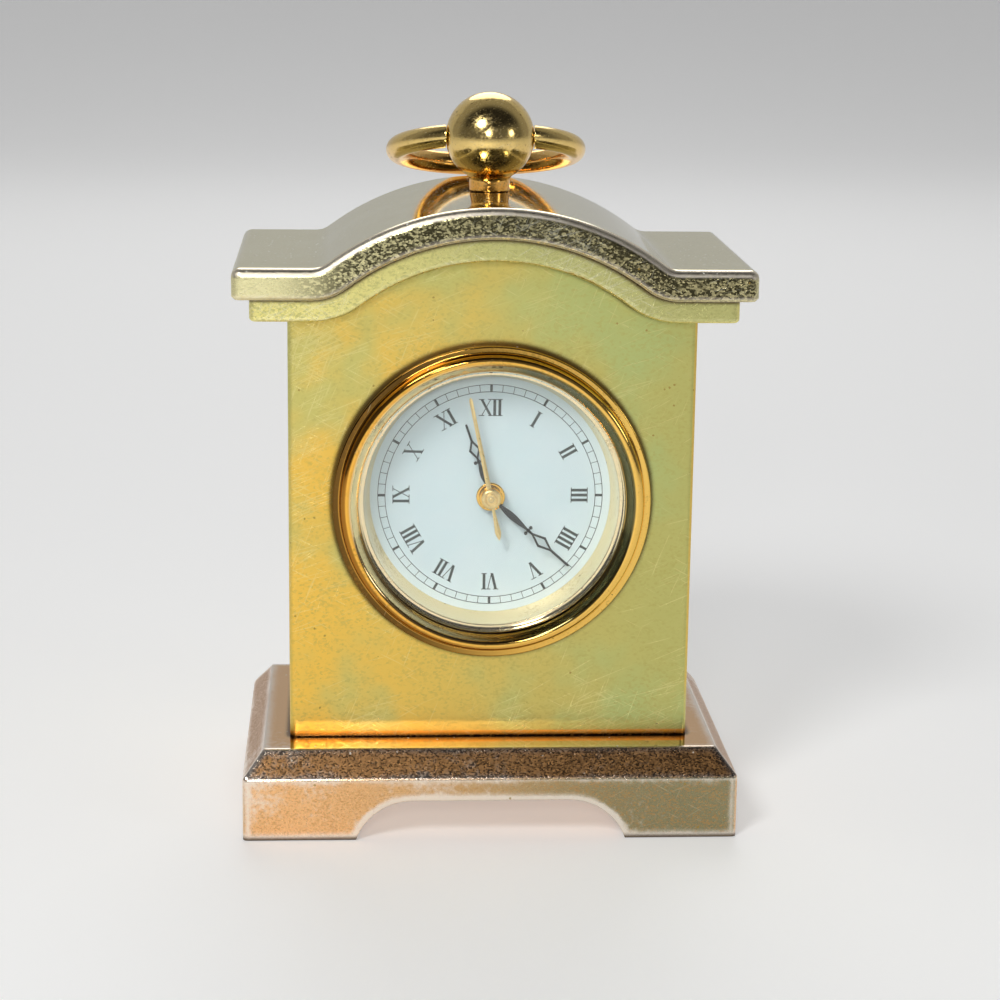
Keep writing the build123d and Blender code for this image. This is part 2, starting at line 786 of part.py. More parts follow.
def seconds_wheel():
    """The seconds wheel on the long arbor that reaches the second hand through the cannon pipe."""
    wheel = toothed(seconds_wheel_teeth, seconds_module, seconds_wheel_front, wheel_thickness, intermediate_angle)
    reach = third_wheel_front - seconds_wheel_front
    wheel += toothed(seconds_pinion_teeth, third_module, third_wheel_front, reach, third_angle)
    front = second_hand_front + second_hub_height + seat_play
    wheel += rod(second_arbor_radius, front, seconds_wheel_front)
    return wheel + rod(arbor_radius, seconds_wheel_front, bridge_front - pivot_depth)


def intermediate_wheel():
    facing = intermediate_angle + 180
    wheel = toothed(
        intermediate_wheel_teeth, rotor_module, intermediate_wheel_front, wheel_thickness, rotor_angle
    )
    reach = seconds_wheel_front - intermediate_wheel_front
    pinion = toothed(
        intermediate_pinion_teeth,
        seconds_module,
        seconds_wheel_front,
        reach,
        gap_at(facing, intermediate_pinion_teeth),
    )
    return geared_arbor(wheel, pinion, intermediate_place)


def rotor():
    """The stepping motor's magnet and its pinion on one arbor."""
    facing = rotor_angle + 180
    pinion = toothed(
        rotor_pinion_teeth,
        rotor_module,
        intermediate_wheel_front,
        wheel_thickness,
        gap_at(facing, rotor_pinion_teeth),
    )
    magnet = rod(magnet_radius, centre_wheel_front, centre_wheel_front - stator_thickness)
    return geared_arbor(magnet, pinion, rotor_place)


# Movement: plates, motor and circuit


def main_plate():
    """The plate that carries the train, with pillars, a strap post and recesses for motor and stem."""
    plate = rod(plate_radius, plate_front, plate_back)
    for place in pillars:
        plate += rod(pillar_radius, plate_back + overrun, bridge_front, place)
    plate += rod(strap_post_radius, plate_back + overrun, strap_front(), strap_post)
    plate += rod(second_arbor_radius, hour_wheel_front, plate_front - overrun, minute_wheel_place)
    plate -= rod(cannon_pipe_radius + pipe_play, plate_front + overrun, plate_back - overrun)
    for place in (third_place, intermediate_place, rotor_place):
        plate -= rod(arbor_radius + pivot_play, plate_back + pivot_depth + layer_gap, plate_back - overrun, place)
    for place in pillars:
        plate -= rod(bridge_screw_radius + seat_play, bridge_front + bridge_screw_grip, bridge_front - overrun, place)
    plate -= rod(
        bridge_screw_radius + seat_play, strap_front() + bridge_screw_grip, strap_front() - overrun, strap_post
    )
    for angle in dial_foot_angles:
        foot = polar(dial_foot_distance, angle)
        plate -= rod(dial_foot_radius + seat_play, plate_front + overrun, plate_back - overrun, foot)
    return plate - coil_space() - stem_space()


def coil_space():
    """The recess that clears the winding."""
    half = coil_polar(coil_length / 2 + coil_clearance)
    depth = 2 * (coil_radius + coil_clearance)
    return bar(coil_place - half, coil_place + half, depth, coil_level() + depth / 2, depth)


def coil_polar(distance):
    return polar(distance, coil_angle + 90)


def coil_level():
    """The level of the middle of the coil, behind the stator."""
    return centre_wheel_front - stator_thickness - core_thickness / 2


def stem_space():
    """The slot for the clutch and the bore for the setting stem."""
    start = clutch_distance - stem_square_length / 2
    slot_length = clutch_length + 2 * layer_gap
    slot_width = 2 * (clutch_radius + layer_gap)
    slot = Pos(clutch_distance, 0, stem_level) * Box(slot_length, slot_width, plate_thickness + 2 * overrun)
    return [slot, along_stem(stem_radius + pipe_play, start - layer_gap, plate_radius + overrun)]


def train_bridge():
    """The bridge over the train, a plate whose outline wraps its three pillars and the rotor's bearing."""
    places = pillars + [rotor_place]
    bosses = [Pos(place.X, place.Y) * Circle(bridge_boss_radius) for place in places]
    outline = make_hull([edge for boss in bosses for edge in boss.edges()])
    plate = sheet(outline, bridge_front, bridge_thickness)
    for place in (Vector(0, 0), third_place, intermediate_place, rotor_place):
        plate -= rod(arbor_radius + pivot_play, bridge_front + overrun, bridge_back - overrun, place)
    for place in pillars:
        plate -= rod(bridge_screw_radius + seat_play, bridge_front + overrun, bridge_back - overrun, place)
    return plate


def small_screws(places, under_head, grip):
    length = under_head - bridge_screw_head_height
    screws = []
    for place in places:
        shank = rod(bridge_screw_radius, under_head + grip, under_head, place)
        head = rod(bridge_screw_head_radius, under_head, length, place)
        slot = Box(2 * bridge_screw_head_radius, bridge_screw_head_height / 2, bridge_screw_head_height)
        screws.append(shank + head - Pos(place.X, place.Y, length) * slot)
    return Compound(screws)


def bridge_screws():
    return small_screws(pillars, bridge_back, bridge_thickness + bridge_screw_grip - layer_gap)


def strap_screw():
    return small_screws([strap_post], strap_front() - strap_thickness, bridge_screw_grip - layer_gap)


def battery():
    """The button cell, with the smaller can of its negative side towards the plate."""
    front = plate_back - battery_clearance
    back = front - battery_height
    step = front - battery_height / 4
    return moved(rod(battery_radius, step, back) + rod(battery_radius - strap_thickness, front, step), battery_place)


def strap_front():
    return plate_back - 2 * battery_clearance - battery_height


def battery_strap():
    """The contact strap that holds the battery down, screwed to its post."""
    far_end = battery_place + (battery_place - strap_post) * (strap_width / battery_radius)
    strap = bar(strap_post, far_end, strap_width, strap_front(), strap_thickness)
    strap += rod(strap_width / 2, strap_front(), strap_front() - strap_thickness, strap_post)
    return strap - rod(
        bridge_screw_radius + seat_play, strap_front() + overrun, strap_front() - strap_thickness - overrun, strap_post
    )


def stator():
    """The soft iron plate that leads the coil's field round the rotor."""
    ring_radius_outer = magnet_radius + stator_gap + stator_ring_wall
    front = centre_wheel_front
    back = front - stator_thickness
    plate = rod(ring_radius_outer, front, back, rotor_place)
    for end in core_ends:
        elbow = end - elbow_step
        plate += bar(rotor_place, elbow, stator_arm_width, front, stator_thickness)
        plate += rod(stator_arm_width / 2, front, back, elbow)
        plate += bar(elbow, end, stator_arm_width, front, stator_thickness)
        plate += rod(core_pad_radius, front, back, end)
    return plate - rod(magnet_radius + stator_gap, front + overrun, back - overrun, rotor_place)


def coil_core():
    front = centre_wheel_front - stator_thickness
    start, end = core_ends
    core = bar(start, end, core_width, front, core_thickness)
    for place in core_ends:
        core += rod(core_pad_radius, front, front - core_thickness, place)
    return core


def coil_winding():
    turn = Pos(coil_place.X, coil_place.Y, coil_level()) * Rot(0, 0, coil_angle + 90)
    winding = Rot(0, 90, 0) * Cylinder(coil_radius, coil_length)
    hollow = Box(coil_length + overrun, core_width + 2 * seat_play, core_thickness + 2 * seat_play)
    return turn * (winding - hollow)


def circuit_board():
    start = board_start_angle
    sweep = board_end_angle - board_start_angle
    outer = CenterArc((0, 0), board_outer_radius, start, sweep)
    inner = CenterArc((0, 0), board_inner_radius, start, sweep)
    sides = [Line(inner @ 0, outer @ 0), Line(inner @ 1, outer @ 1)]
    return sheet(make_face([outer, inner] + sides), plate_back - seat_play, board_thickness)


def circuit_chip():
    place = polar((board_inner_radius + board_outer_radius) / 2, (board_start_angle + board_end_angle) / 2)
    front = plate_back - seat_play - board_thickness
    return moved(sheet(Rectangle(chip_size, chip_size), front, chip_height), place)


def oscillator_can():
    place = polar(can_distance, can_angle)
    can = Rot(0, 0, can_angle + 90) * Rot(0, 90, 0) * Cylinder(can_radius, can_length)
    return Pos(place.X, place.Y, plate_back - seat_play - can_radius) * can


# Setting stem


def clutch_pinion():
    """The crown-toothed pinion that slides on the square of the stem and turns with it."""
    body = along_stem(clutch_radius, clutch_distance - clutch_length / 2, clutch_distance + clutch_length / 2)
    for index in range(clutch_teeth):
        notch = Box(clutch_tooth_depth, clutch_radius, clutch_tooth_depth)
        edge = Pos(clutch_distance - clutch_length / 2, 0, stem_level) * Rot(360 * index / clutch_teeth, 0, 0)
        body -= edge * Pos(0, clutch_radius, 0) * notch
    square = stem_square_width + 2 * seat_play
    return body - Pos(clutch_distance, 0, stem_level) * Box(clutch_length + overrun, square, square)


def setting_stem():
    square_start = clutch_distance - stem_square_length / 2
    square_end = clutch_distance + stem_square_length / 2
    crown_start = cup_rear_radius + crown_gap
    square = Pos((square_start + square_end) / 2, 0, stem_level)
    stem = square * Box(stem_square_length, stem_square_width, stem_square_width)
    return stem + along_stem(stem_radius, square_end, crown_start + crown_length / 2)


def crown():
    start = cup_rear_radius + crown_gap
    rim = []
    for index in range(crown_flute_count):
        rim.append(polar(crown_radius, 360 * index / crown_flute_count))
        rim.append(polar(crown_radius - crown_flute_depth, 360 * (index + 1 / 2) / crown_flute_count))
    knob = extrude(make_face(Polyline(rim, close=True)), amount=crown_length)
    knob = Pos(start, 0, stem_level) * Rot(0, 90, 0) * knob
    return knob - along_stem(stem_radius, start - overrun, start + crown_length / 2)


case_pieces = [
    plinth, case_body, cornice_moulding, cornice_cap, base_screws, cornice_dowels, ball_finial, ring_handle,
]
insert_pieces = [
    bezel, crystal, insert_cup, grip_ring, dial, movement_holder, insert_back,
    hour_hand, minute_hand, hour_collet, minute_collet, second_hand,
    hour_wheel, minute_wheel, centre_wheel, third_wheel, seconds_wheel, intermediate_wheel, rotor,
    main_plate, train_bridge, bridge_screws, battery, battery_strap, strap_screw,
    stator, coil_core, coil_winding, circuit_board, circuit_chip, oscillator_can,
    clutch_pinion, setting_stem, crown,
]

# The origin lies under the middle of the whole clock, whose folded ring reaches behind the plinth
ring_reach = (math.sqrt(ring_radius**2 - ball_radius**2) + ring_radius) * math.cos(math.radians(ring_fold_angle()))
case_middle_y = -(ring_reach + ring_wire_radius - plinth_depth / 2) / 2
case_seat = Pos(0, case_middle_y, 0)
insert_seat = case_seat * Plane(origin=(0, bezel_front, dial_height), x_dir=(1, 0, 0), z_dir=(0, -1, 0)).location


def save_pieces(pieces, seat):
    for piece in pieces:
        export_step(seat * piece(), f"parts/{piece.__name__}.step")


save_pieces(case_pieces, case_seat)
save_pieces(insert_pieces, insert_seat)

print("case middle y", round(case_middle_y, 4))
print("ring fold angle", round(ring_fold_angle(), 3))
print("ball z", round(ball_z, 3), "dial height", dial_height)
print("insert back y", round(case_middle_y + bezel_front - cover_front + cover_thickness, 3))
print("stem y", round(case_middle_y + bezel_front - stem_level, 3))
for name, place in [("third", third_place), ("intermediate", intermediate_place), ("rotor", rotor_place),
                    ("minute wheel", minute_wheel_place)]:
    print(name, round(place.X, 4), round(dial_height + place.Y, 4))
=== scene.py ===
import bpy
import bmesh
import math
from mathutils import Matrix, Vector


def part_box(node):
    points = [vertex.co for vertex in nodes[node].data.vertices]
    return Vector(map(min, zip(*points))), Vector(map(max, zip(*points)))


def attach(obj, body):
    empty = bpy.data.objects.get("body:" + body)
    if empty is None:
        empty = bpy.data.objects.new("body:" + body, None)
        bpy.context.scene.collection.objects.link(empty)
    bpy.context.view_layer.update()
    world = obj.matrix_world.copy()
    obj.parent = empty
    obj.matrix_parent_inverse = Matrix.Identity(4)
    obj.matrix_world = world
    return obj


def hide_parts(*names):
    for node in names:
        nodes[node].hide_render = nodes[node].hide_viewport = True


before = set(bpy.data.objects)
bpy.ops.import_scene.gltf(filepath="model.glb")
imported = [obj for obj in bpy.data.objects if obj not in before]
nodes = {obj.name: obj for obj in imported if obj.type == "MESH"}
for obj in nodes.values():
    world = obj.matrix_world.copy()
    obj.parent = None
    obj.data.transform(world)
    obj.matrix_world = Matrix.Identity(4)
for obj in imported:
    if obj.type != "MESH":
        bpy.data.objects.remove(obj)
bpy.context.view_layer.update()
mm = 0.001
dialLow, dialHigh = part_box("dial")
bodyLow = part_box("case_body")[0]
dialZ = (dialLow.z + dialHigh.z) / 2
dialFront = dialLow.y
gripDepth = 1.02  # mm from the flange's front to the grip ring: the flange is 1 mm thick
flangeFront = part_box("grip_ring")[0].y - gripDepth * mm
print("clock loaded:", len(nodes), "solids")


def addNode(tree, kind, inputs=None, **settings):
    node = tree.nodes.new(kind)
    for key, value in settings.items():
        setattr(node, key, value)
    joinInputs(tree, node, inputs or {})
    return node


def joinInputs(tree, node, inputs):
    for key, value in inputs.items():
        if isinstance(value, bpy.types.NodeSocket):
            tree.links.new(value, node.inputs[key])
        else:
            node.inputs[key].default_value = value


def maths(tree, operation, first, second=0.0):
    return addNode(tree, "ShaderNodeMath", {0: first, 1: second}, operation=operation).outputs[0]


def times(tree, first, second):
    return maths(tree, "MULTIPLY", first, second)


def plus(tree, first, second):
    return maths(tree, "ADD", first, second)


def ease(tree, value, low, high):  # 0 below low, 1 above high, smooth between
    limits = {"Value": value, "From Min": low, "From Max": high}
    return addNode(tree, "ShaderNodeMapRange", limits, interpolation_type="SMOOTHSTEP").outputs["Result"]


def noise(tree, place, scale, detail=2.0, roughness=0.5):
    inputs = {"Vector": place, "Scale": scale, "Detail": detail, "Roughness": roughness}
    return addNode(tree, "ShaderNodeTexNoise", inputs).outputs["Fac"]


def blendColour(tree, share, first, second):
    return addNode(tree, "ShaderNodeMix", {0: share, 6: first, 7: second}, data_type="RGBA").outputs[2]


def newGroup(name, inputs, outputs):
    group = bpy.data.node_groups.new(name, "ShaderNodeTree")
    for label, kind, value in inputs:
        socket = group.interface.new_socket(name=label, in_out="INPUT", socket_type=kind)
        if value is not None:
            socket.default_value = value
    for label, kind in outputs:
        group.interface.new_socket(name=label, in_out="OUTPUT", socket_type=kind)
    return group, group.nodes.new("NodeGroupInput").outputs, group.nodes.new("NodeGroupOutput").inputs


def placeGroup(tree, group, inputs):
    node = tree.nodes.new("ShaderNodeGroup")
    node.node_tree = group
    joinInputs(tree, node, inputs)
    return node.outputs


# how each set of hair scratches runs: its turn in radians and how far it is drawn out
scratchRuns = ((0.4, 0.02), (0.25, 0.025), (0.55, 0.03), (-0.5, 0.05), (1.2, 0.04))


def makeScratches():
    group, given, result = newGroup(
        "hairScratches",
        [("Place", "NodeSocketVector", None), ("Fineness", "NodeSocketFloat", 9000.0),
         ("Amount", "NodeSocketFloat", 0.5)],
        [("Scratches", "NodeSocketFloat")],
    )
    total = None
    patches = ease(group, noise(group, given["Place"], 90.0, 3.0, 0.6), 0.3, 0.7)
    amount = times(group, given["Amount"], patches)
    low = maths(group, "SUBTRACT", 0.86, times(group, amount, 0.22))
    high = plus(group, low, 0.12)
    for turn, stretch in scratchRuns:
        turned = addNode(group, "ShaderNodeVectorRotate", {"Vector": given["Place"], "Angle": turn},
                         rotation_type="Y_AXIS")
        drawn = addNode(group, "ShaderNodeMapping", {"Vector": turned.outputs[0], "Scale": (stretch, 0.5, 1)})
        line = ease(group, noise(group, drawn.outputs[0], given["Fineness"], 0.0), low, high)
        total = line if total is None else maths(group, "MAXIMUM", total, line)
    group.links.new(total, result["Scratches"])
    return group


def makeWear():
    group, given, result = newGroup(
        "edgeWear",
        [("Place", "NodeSocketVector", None), ("Width", "NodeSocketFloat", 0.0004),
         ("Break Up", "NodeSocketFloat", 0.4), ("Round", "NodeSocketFloat", 0.0002)],
        [("Edge", "NodeSocketFloat"), ("Soft Normal", "NodeSocketVector")],
    )
    wide = addNode(group, "ShaderNodeBevel", {"Radius": given["Width"]}, samples=8).outputs[0]
    sharp = addNode(group, "ShaderNodeNewGeometry").outputs["Normal"]
    facing = addNode(group, "ShaderNodeVectorMath", {0: wide, 1: sharp},
                     operation="DOT_PRODUCT").outputs["Value"]
    fine = times(group, maths(group, "SUBTRACT", noise(group, given["Place"], 2200.0, 4.0), 0.5), 0.03)
    slow = times(group, maths(group, "SUBTRACT", noise(group, given["Place"], 140.0, 2.0), 0.5), 0.06)
    patchy = times(group, plus(group, fine, slow), given["Break Up"])
    turned = maths(group, "SUBTRACT", maths(group, "SUBTRACT", 1.0, facing), patchy)
    group.links.new(ease(group, turned, 0.003, 0.03), result["Edge"])
    soft = addNode(group, "ShaderNodeBevel", {"Radius": given["Round"]}, samples=8).outputs[0]
    group.links.new(soft, result["Soft Normal"])
    return group


def makeSpecks():
    group, given, result = newGroup(
        "specks",
        [("Place", "NodeSocketVector", None), ("Fineness", "NodeSocketFloat", 700.0),
         ("Share", "NodeSocketFloat", 0.2), ("Size", "NodeSocketFloat", 0.12)],
        [("Specks", "NodeSocketFloat")],
    )
    wander = addNode(group, "ShaderNodeTexNoise",
                     {"Vector": given["Place"], "Scale": 6000.0}).outputs["Color"]
    shift = addNode(group, "ShaderNodeVectorMath", {0: wander, "Scale": 0.00012},
                    operation="SCALE").outputs[0]
    moved = addNode(group, "ShaderNodeVectorMath", {0: given["Place"], 1: shift}, operation="ADD").outputs[0]
    cells = addNode(group, "ShaderNodeTexVoronoi", {"Vector": moved, "Scale": given["Fineness"]})
    chosen = addNode(group, "ShaderNodeSeparateColor", {0: cells.outputs["Color"]}).outputs
    kept = maths(group, "LESS_THAN", chosen[0], given["Share"])
    size = times(group, given["Size"], plus(group, 0.3, chosen[1]))
    inside = maths(group, "LESS_THAN", cells.outputs["Distance"], size)
    group.links.new(times(group, kept, inside), result["Specks"])
    return group


def makeTarnishAndReflection():
    group, given, result = newGroup(
        "tarnishAndReflection",
        [("Place", "NodeSocketVector", None), ("Fineness", "NodeSocketFloat", 4200.0),
         ("Spread", "NodeSocketFloat", 90.0), ("Patchiness", "NodeSocketFloat", 0.4),
         ("Brushing", "NodeSocketFloat", 1.0), ("Cover", "NodeSocketFloat", 0.5),
         ("Softness", "NodeSocketFloat", 0.3), ("Sparkle", "NodeSocketFloat", 0.2)],
        [("Tarnish And Reflection", "NodeSocketFloat"), ("Grain", "NodeSocketFloat")],
    )
    squeeze = addNode(group, "ShaderNodeCombineXYZ", {0: given["Brushing"], 1: 1.0, 2: 1.0}).outputs[0]
    drawn = addNode(group, "ShaderNodeVectorMath", {0: given["Place"], 1: squeeze},
                    operation="MULTIPLY").outputs[0]
    grain = noise(group, drawn, given["Fineness"], 3.0, 0.7)
    cells = addNode(group, "ShaderNodeTexVoronoi",
                    {"Vector": drawn, "Scale": times(group, given["Fineness"], 1.5)})
    # one chance value for each speck
    sparkle = addNode(group, "ShaderNodeSeparateColor", {0: cells.outputs["Color"]}).outputs[0]
    clouds = maths(group, "SUBTRACT", noise(group, given["Place"], given["Spread"], 4.0, 0.65), 0.5)
    patchy = plus(group, times(group, clouds, times(group, given["Patchiness"], 4.0)),
                  times(group, maths(group, "SUBTRACT", sparkle, 0.5), given["Sparkle"]))
    low = maths(group, "SUBTRACT", 0.68, times(group, given["Cover"], 0.4))
    high = plus(group, low, given["Softness"])
    group.links.new(ease(group, plus(group, grain, patchy), low, high), result["Tarnish And Reflection"])
    group.links.new(plus(group, times(group, sparkle, 0.6), times(group, grain, 0.4)), result["Grain"])
    return group


def makeCreaseShadeAndGrime():  # 1 deep in a corner where pieces meet: painted shade, with some grime
    reach = [("Reach", "NodeSocketFloat", 0.0006)]
    group, given, result = newGroup("creaseShadeAndGrime", reach, [("Crease Shade And Grime", "NodeSocketFloat")])
    near = addNode(group, "ShaderNodeAmbientOcclusion", {"Distance": given["Reach"]}, samples=8).outputs["AO"]
    group.links.new(ease(group, near, 0.97, 0.66), result["Crease Shade And Grime"])
    return group


scratchGroup, wearGroup, speckGroup, tarnishReflectionGroup = makeScratches(), makeWear(), makeSpecks(), makeTarnishAndReflection()
creaseShadeGrimeGroup = makeCreaseShadeAndGrime()


bandSoftness = 0.08  # mm over which a painted ring begins and ends


def ringBand(tree, place, fromRadius, toRadius):  # 1 between two radii about the dial's axis, in mm
    centred = addNode(tree, "ShaderNodeMapping",
                      {"Vector": place, "Location": (0, 0, -dialZ), "Scale": (1, 0, 1)}).outputs[0]
    radius = addNode(tree, "ShaderNodeVectorMath", {0: centred}, operation="LENGTH").outputs["Value"]
    soft = bandSoftness * mm
    begins = ease(tree, radius, fromRadius * mm - soft, fromRadius * mm + soft)
    ends = ease(tree, radius, toRadius * mm + soft, toRadius * mm - soft)
    return times(tree, begins, ends)


def metalFinish(name, look):
    material = bpy.data.materials.new(name)
    material.use_nodes = True
    tree = material.node_tree
    shader = tree.nodes["Principled BSDF"]
    place = addNode(tree, "ShaderNodeTexCoord").outputs["Object"]
    spot = addNode(tree, "ShaderNodeSeparateXYZ", {0: place}).outputs
    across = spot[look["paintedLightAxis"]]
    facing = addNode(tree, "ShaderNodeNewGeometry").outputs["Normal"]
    normal = addNode(tree, "ShaderNodeSeparateXYZ", {0: facing}).outputs
    upward, forward = normal["Z"], maths(tree, "ABSOLUTE", normal["Y"])
    top = ease(tree, upward, *look["topSlope"])
    # a painted highlight along the rounded top front edge, in the edge colour
    rounding = times(tree, ease(tree, forward, 0.05, 0.3), ease(tree, forward, 0.995, 0.93))
    rim = times(tree, times(tree, rounding, ease(tree, upward, 0.0, 0.25)), look["rimHighlightShare"])
    polish = maths(tree, "SUBTRACT", 1.0, times(tree, top, look["topPolish"]))
    scratches = placeGroup(tree, scratchGroup, {
        "Place": place, "Fineness": look["scratchFineness"], "Amount": look["scratchAmount"]})["Scratches"]
    wear = placeGroup(tree, wearGroup, {
        "Place": place, "Width": look["edgeWidth"], "Break Up": look["edgeBreakUp"],
        "Round": look["edgeRound"]})
    agedAndReflected = placeGroup(tree, tarnishReflectionGroup, {
        "Place": place, "Fineness": look["grainFineness"], "Spread": look["tarnishReflectionSpread"],
        "Patchiness": look["patchiness"], "Brushing": look["brushing"], "Cover": look["tarnishReflectionCover"],
        "Softness": look["tarnishReflectionSoftness"], "Sparkle": look["sparkle"]})
    pits = placeGroup(tree, speckGroup, {
        "Place": place, "Fineness": look["pitFineness"], "Share": look["pitShare"], "Size": 0.2})["Specks"]
    dust = placeGroup(tree, speckGroup, {
        "Place": place, "Fineness": look["dustFineness"], "Share": look["dustShare"], "Size": 0.16})["Specks"]
    dust = times(tree, dust, ease(tree, upward, 0.3, 0.8))
    # painted light and reflection: the colour changes from one side of the piece to the other
    turned = ease(tree, across, *look["paintedLightSpan"])
    tarnishAndReflection = times(tree, times(tree, agedAndReflected["Tarnish And Reflection"], ease(tree, across, *look["tarnishReflectionAcross"])), polish)
    if look["frontOnly"]:  # the painted side-to-side light stays on the front; the sides and the back keep an even colour
        front = ease(tree, normal["Y"], -0.75, -0.95)
        turned = addNode(tree, "ShaderNodeMix", {0: front, 2: 0.3, 3: turned}).outputs[0]
        tarnishAndReflection = times(tree, tarnishAndReflection, plus(tree, 0.4, times(tree, front, 0.6)))
    colour = blendColour(tree, turned, look["colour"], look["paintedLightEndColour"])
    if look["cloudShare"]:
        clouds = ease(tree, noise(tree, place, look["cloudSpread"], 3.0, 0.6), *look["cloudEdge"])
        colour = blendColour(tree, times(tree, clouds, look["cloudShare"]), colour, look["cloudColour"])
        # a painted warm reflection along the body's foot
        warmReflectionSpan = ease(tree, spot["Z"], *(bodyLow.z + height * mm for height in look["warmReflectionSpan"]))
        colour = blendColour(tree, times(tree, warmReflectionSpan, look["warmReflectionShare"]), colour, look["warmReflectionColour"])
    # the bevel's dark brown: its own tone, and partly a painted dark reflection
    if look["slopeToneReflectionShare"]:
        slopeToneReflection = times(tree, ease(tree, upward, 0.3, 0.5), ease(tree, upward, 0.95, 0.85))
        colour = blendColour(tree, times(tree, slopeToneReflection, look["slopeToneReflectionShare"]), colour, look["slopeToneReflectionColour"])
    # painted reflections laid on as rings about the dial's axis
    for fromRadius, toRadius, share, tone, none, full in look.get("reflectionBands", ()):
        side = times(tree, ease(tree, across, none * mm, full * mm), share)
        colour = blendColour(tree, times(tree, ringBand(tree, place, fromRadius, toRadius), side),
                             colour, tone)
    # tarnish, and on the cap a painted dark reflection
    colour = blendColour(tree, times(tree, tarnishAndReflection, look["tarnishReflectionShare"]), colour, look["tarnishReflectionColour"])
    # worn edges, and the painted highlight along the rim
    wearAndHighlight = maths(tree, "MAXIMUM", times(tree, wear["Edge"], look["edgeShare"]), rim)
    colour = blendColour(tree, wearAndHighlight, colour, look["edgeColour"])
    colour = blendColour(tree, times(tree, scratches, look["scratchShare"]), colour, look["scratchColour"])
    colour = blendColour(tree, times(tree, pits, 0.8), colour, look["pitColour"])
    colour = blendColour(tree, dust, colour, look["dustColour"])
    # painted shade with some grime, darkest in the corners where another piece comes close
    if look["creaseShadeGrimeShare"]:
        creaseShadeGrime = placeGroup(tree, creaseShadeGrimeGroup, {"Reach": look["creaseShadeGrimeReach"]})["Crease Shade And Grime"]
        colour = blendColour(tree, times(tree, creaseShadeGrime, look["creaseShadeGrimeShare"]), colour, look["creaseShadeGrimeColour"])
    tree.links.new(colour, shader.inputs["Base Color"])
    shader.inputs["Metallic"].default_value = 1.0
    if look["dustShare"]:
        tree.links.new(maths(tree, "SUBTRACT", 1.0, dust), shader.inputs["Metallic"])
    rough = plus(tree, look["roughness"], times(tree, agedAndReflected["Grain"], look["grainRoughness"]))
    rough = plus(tree, rough, times(tree, scratches, look["scratchRoughness"]))
    rough = times(tree, rough, maths(tree, "SUBTRACT", 1.0, times(tree, wear["Edge"], look["edgePolish"])))
    rough = plus(tree, times(tree, rough, polish), times(tree, rim, 0.25))
    tree.links.new(maths(tree, "MAXIMUM", plus(tree, rough, times(tree, dust, 0.5)), 0.03),
                   shader.inputs["Roughness"])
    height = maths(tree, "SUBTRACT", times(tree, agedAndReflected["Grain"], look["grainDepth"]),
                   times(tree, scratches, look["scratchDepth"]))
    bump = addNode(tree, "ShaderNodeBump", {
        "Height": times(tree, height, polish), "Distance": 1.0, "Normal": wear["Soft Normal"]})
    tree.links.new(bump.outputs[0], shader.inputs["Normal"])
    return material


polished = {  # lengths in metres, fineness in features to a metre
    "colour": (0.93, 0.56, 0.14, 1), "paintedLightEndColour": (0.90, 0.58, 0.16, 1), "paintedLightSpan": (-0.02, 0.02),
    "tarnishReflectionColour": (0.36, 0.17, 0.03, 1), "tarnishReflectionShare": 0.6, "tarnishReflectionCover": 0.35, "tarnishReflectionSpread": 160.0,
    "tarnishReflectionAcross": (-0.2, -0.1), "tarnishReflectionSoftness": 0.3, "sparkle": 0.2, "paintedLightAxis": "X", "rimHighlightShare": 0.0,
    "frontOnly": False, "topSlope": (0.8, 0.97), "cloudShare": 0.0, "slopeToneReflectionShare": 0.0,
    "creaseShadeGrimeShare": 0.0, "creaseShadeGrimeReach": 0.0006, "creaseShadeGrimeColour": (0.07, 0.035, 0.01, 1),
    "patchiness": 0.25, "brushing": 1.0, "grainFineness": 4800.0, "grainRoughness": 0.06, "grainDepth": 8e-7,
    "edgeColour": (0.95, 0.78, 0.42, 1), "edgeShare": 0.3, "edgeWidth": 0.0002, "edgeRound": 0.0002,
    "edgeBreakUp": 0.6, "edgePolish": 0.0, "scratchColour": (0.98, 0.80, 0.46, 1), "scratchShare": 0.35,
    "scratchFineness": 11000.0, "scratchAmount": 1.0, "scratchRoughness": 0.12, "scratchDepth": 6e-7,
    "pitColour": (0.16, 0.08, 0.02, 1), "pitShare": 0.06, "pitFineness": 2400.0,
    "dustColour": (0.80, 0.78, 0.70, 1), "dustShare": 0.1, "dustFineness": 2000.0,
    "roughness": 0.05, "topPolish": 0.0,
}
knobGold = dict(polished, **{
    # the deep orange low on the ball and ring is a painted warm reflection
    "colour": (0.95, 0.40, 0.05, 1), "paintedLightEndColour": (0.90, 0.66, 0.24, 1), "paintedLightAxis": "Z",
    "paintedLightSpan": (0.052, 0.059), "grainRoughness": 0.26, "roughness": 0.02, "dustShare": 0.2,
})
bezelGold = dict(polished, **{
    "colour": (0.92, 0.47, 0.07, 1), "paintedLightEndColour": (0.94, 0.60, 0.14, 1), "edgeShare": 0.0,
    "edgeWidth": 0.00005, "edgeRound": 0.00005, "tarnishReflectionShare": 0.4, "scratchAmount": 0.4,
    "reflectionBands": [  # painted reflections as rings: radii, share and colour, and from where to where across the dial a band grows, in mm
        (13.02, 13.6, 0.9, (0.07, 0.035, 0.012, 1), 6, -8),  # the flange, a painted dark reflection
        (12.45, 12.98, 0.8, (0.30, 0.11, 0.015, 1), 7, -5),  # the outside of the bead, a painted dark reflection
        (11.42, 12.15, 0.92, (0.09, 0.10, 0.05, 1), -4, 4),  # the inner slope, a painted dark reflection towards the right
        (11.42, 12.12, 0.8, (0.98, 0.80, 0.46, 1), 2, -5),  # and a painted pale reflection towards the left
        (10.2, 11.36, 0.8, (0.98, 0.84, 0.56, 1), -40, -30),  # the wall behind the crystal, a painted pale reflection
    ],
})
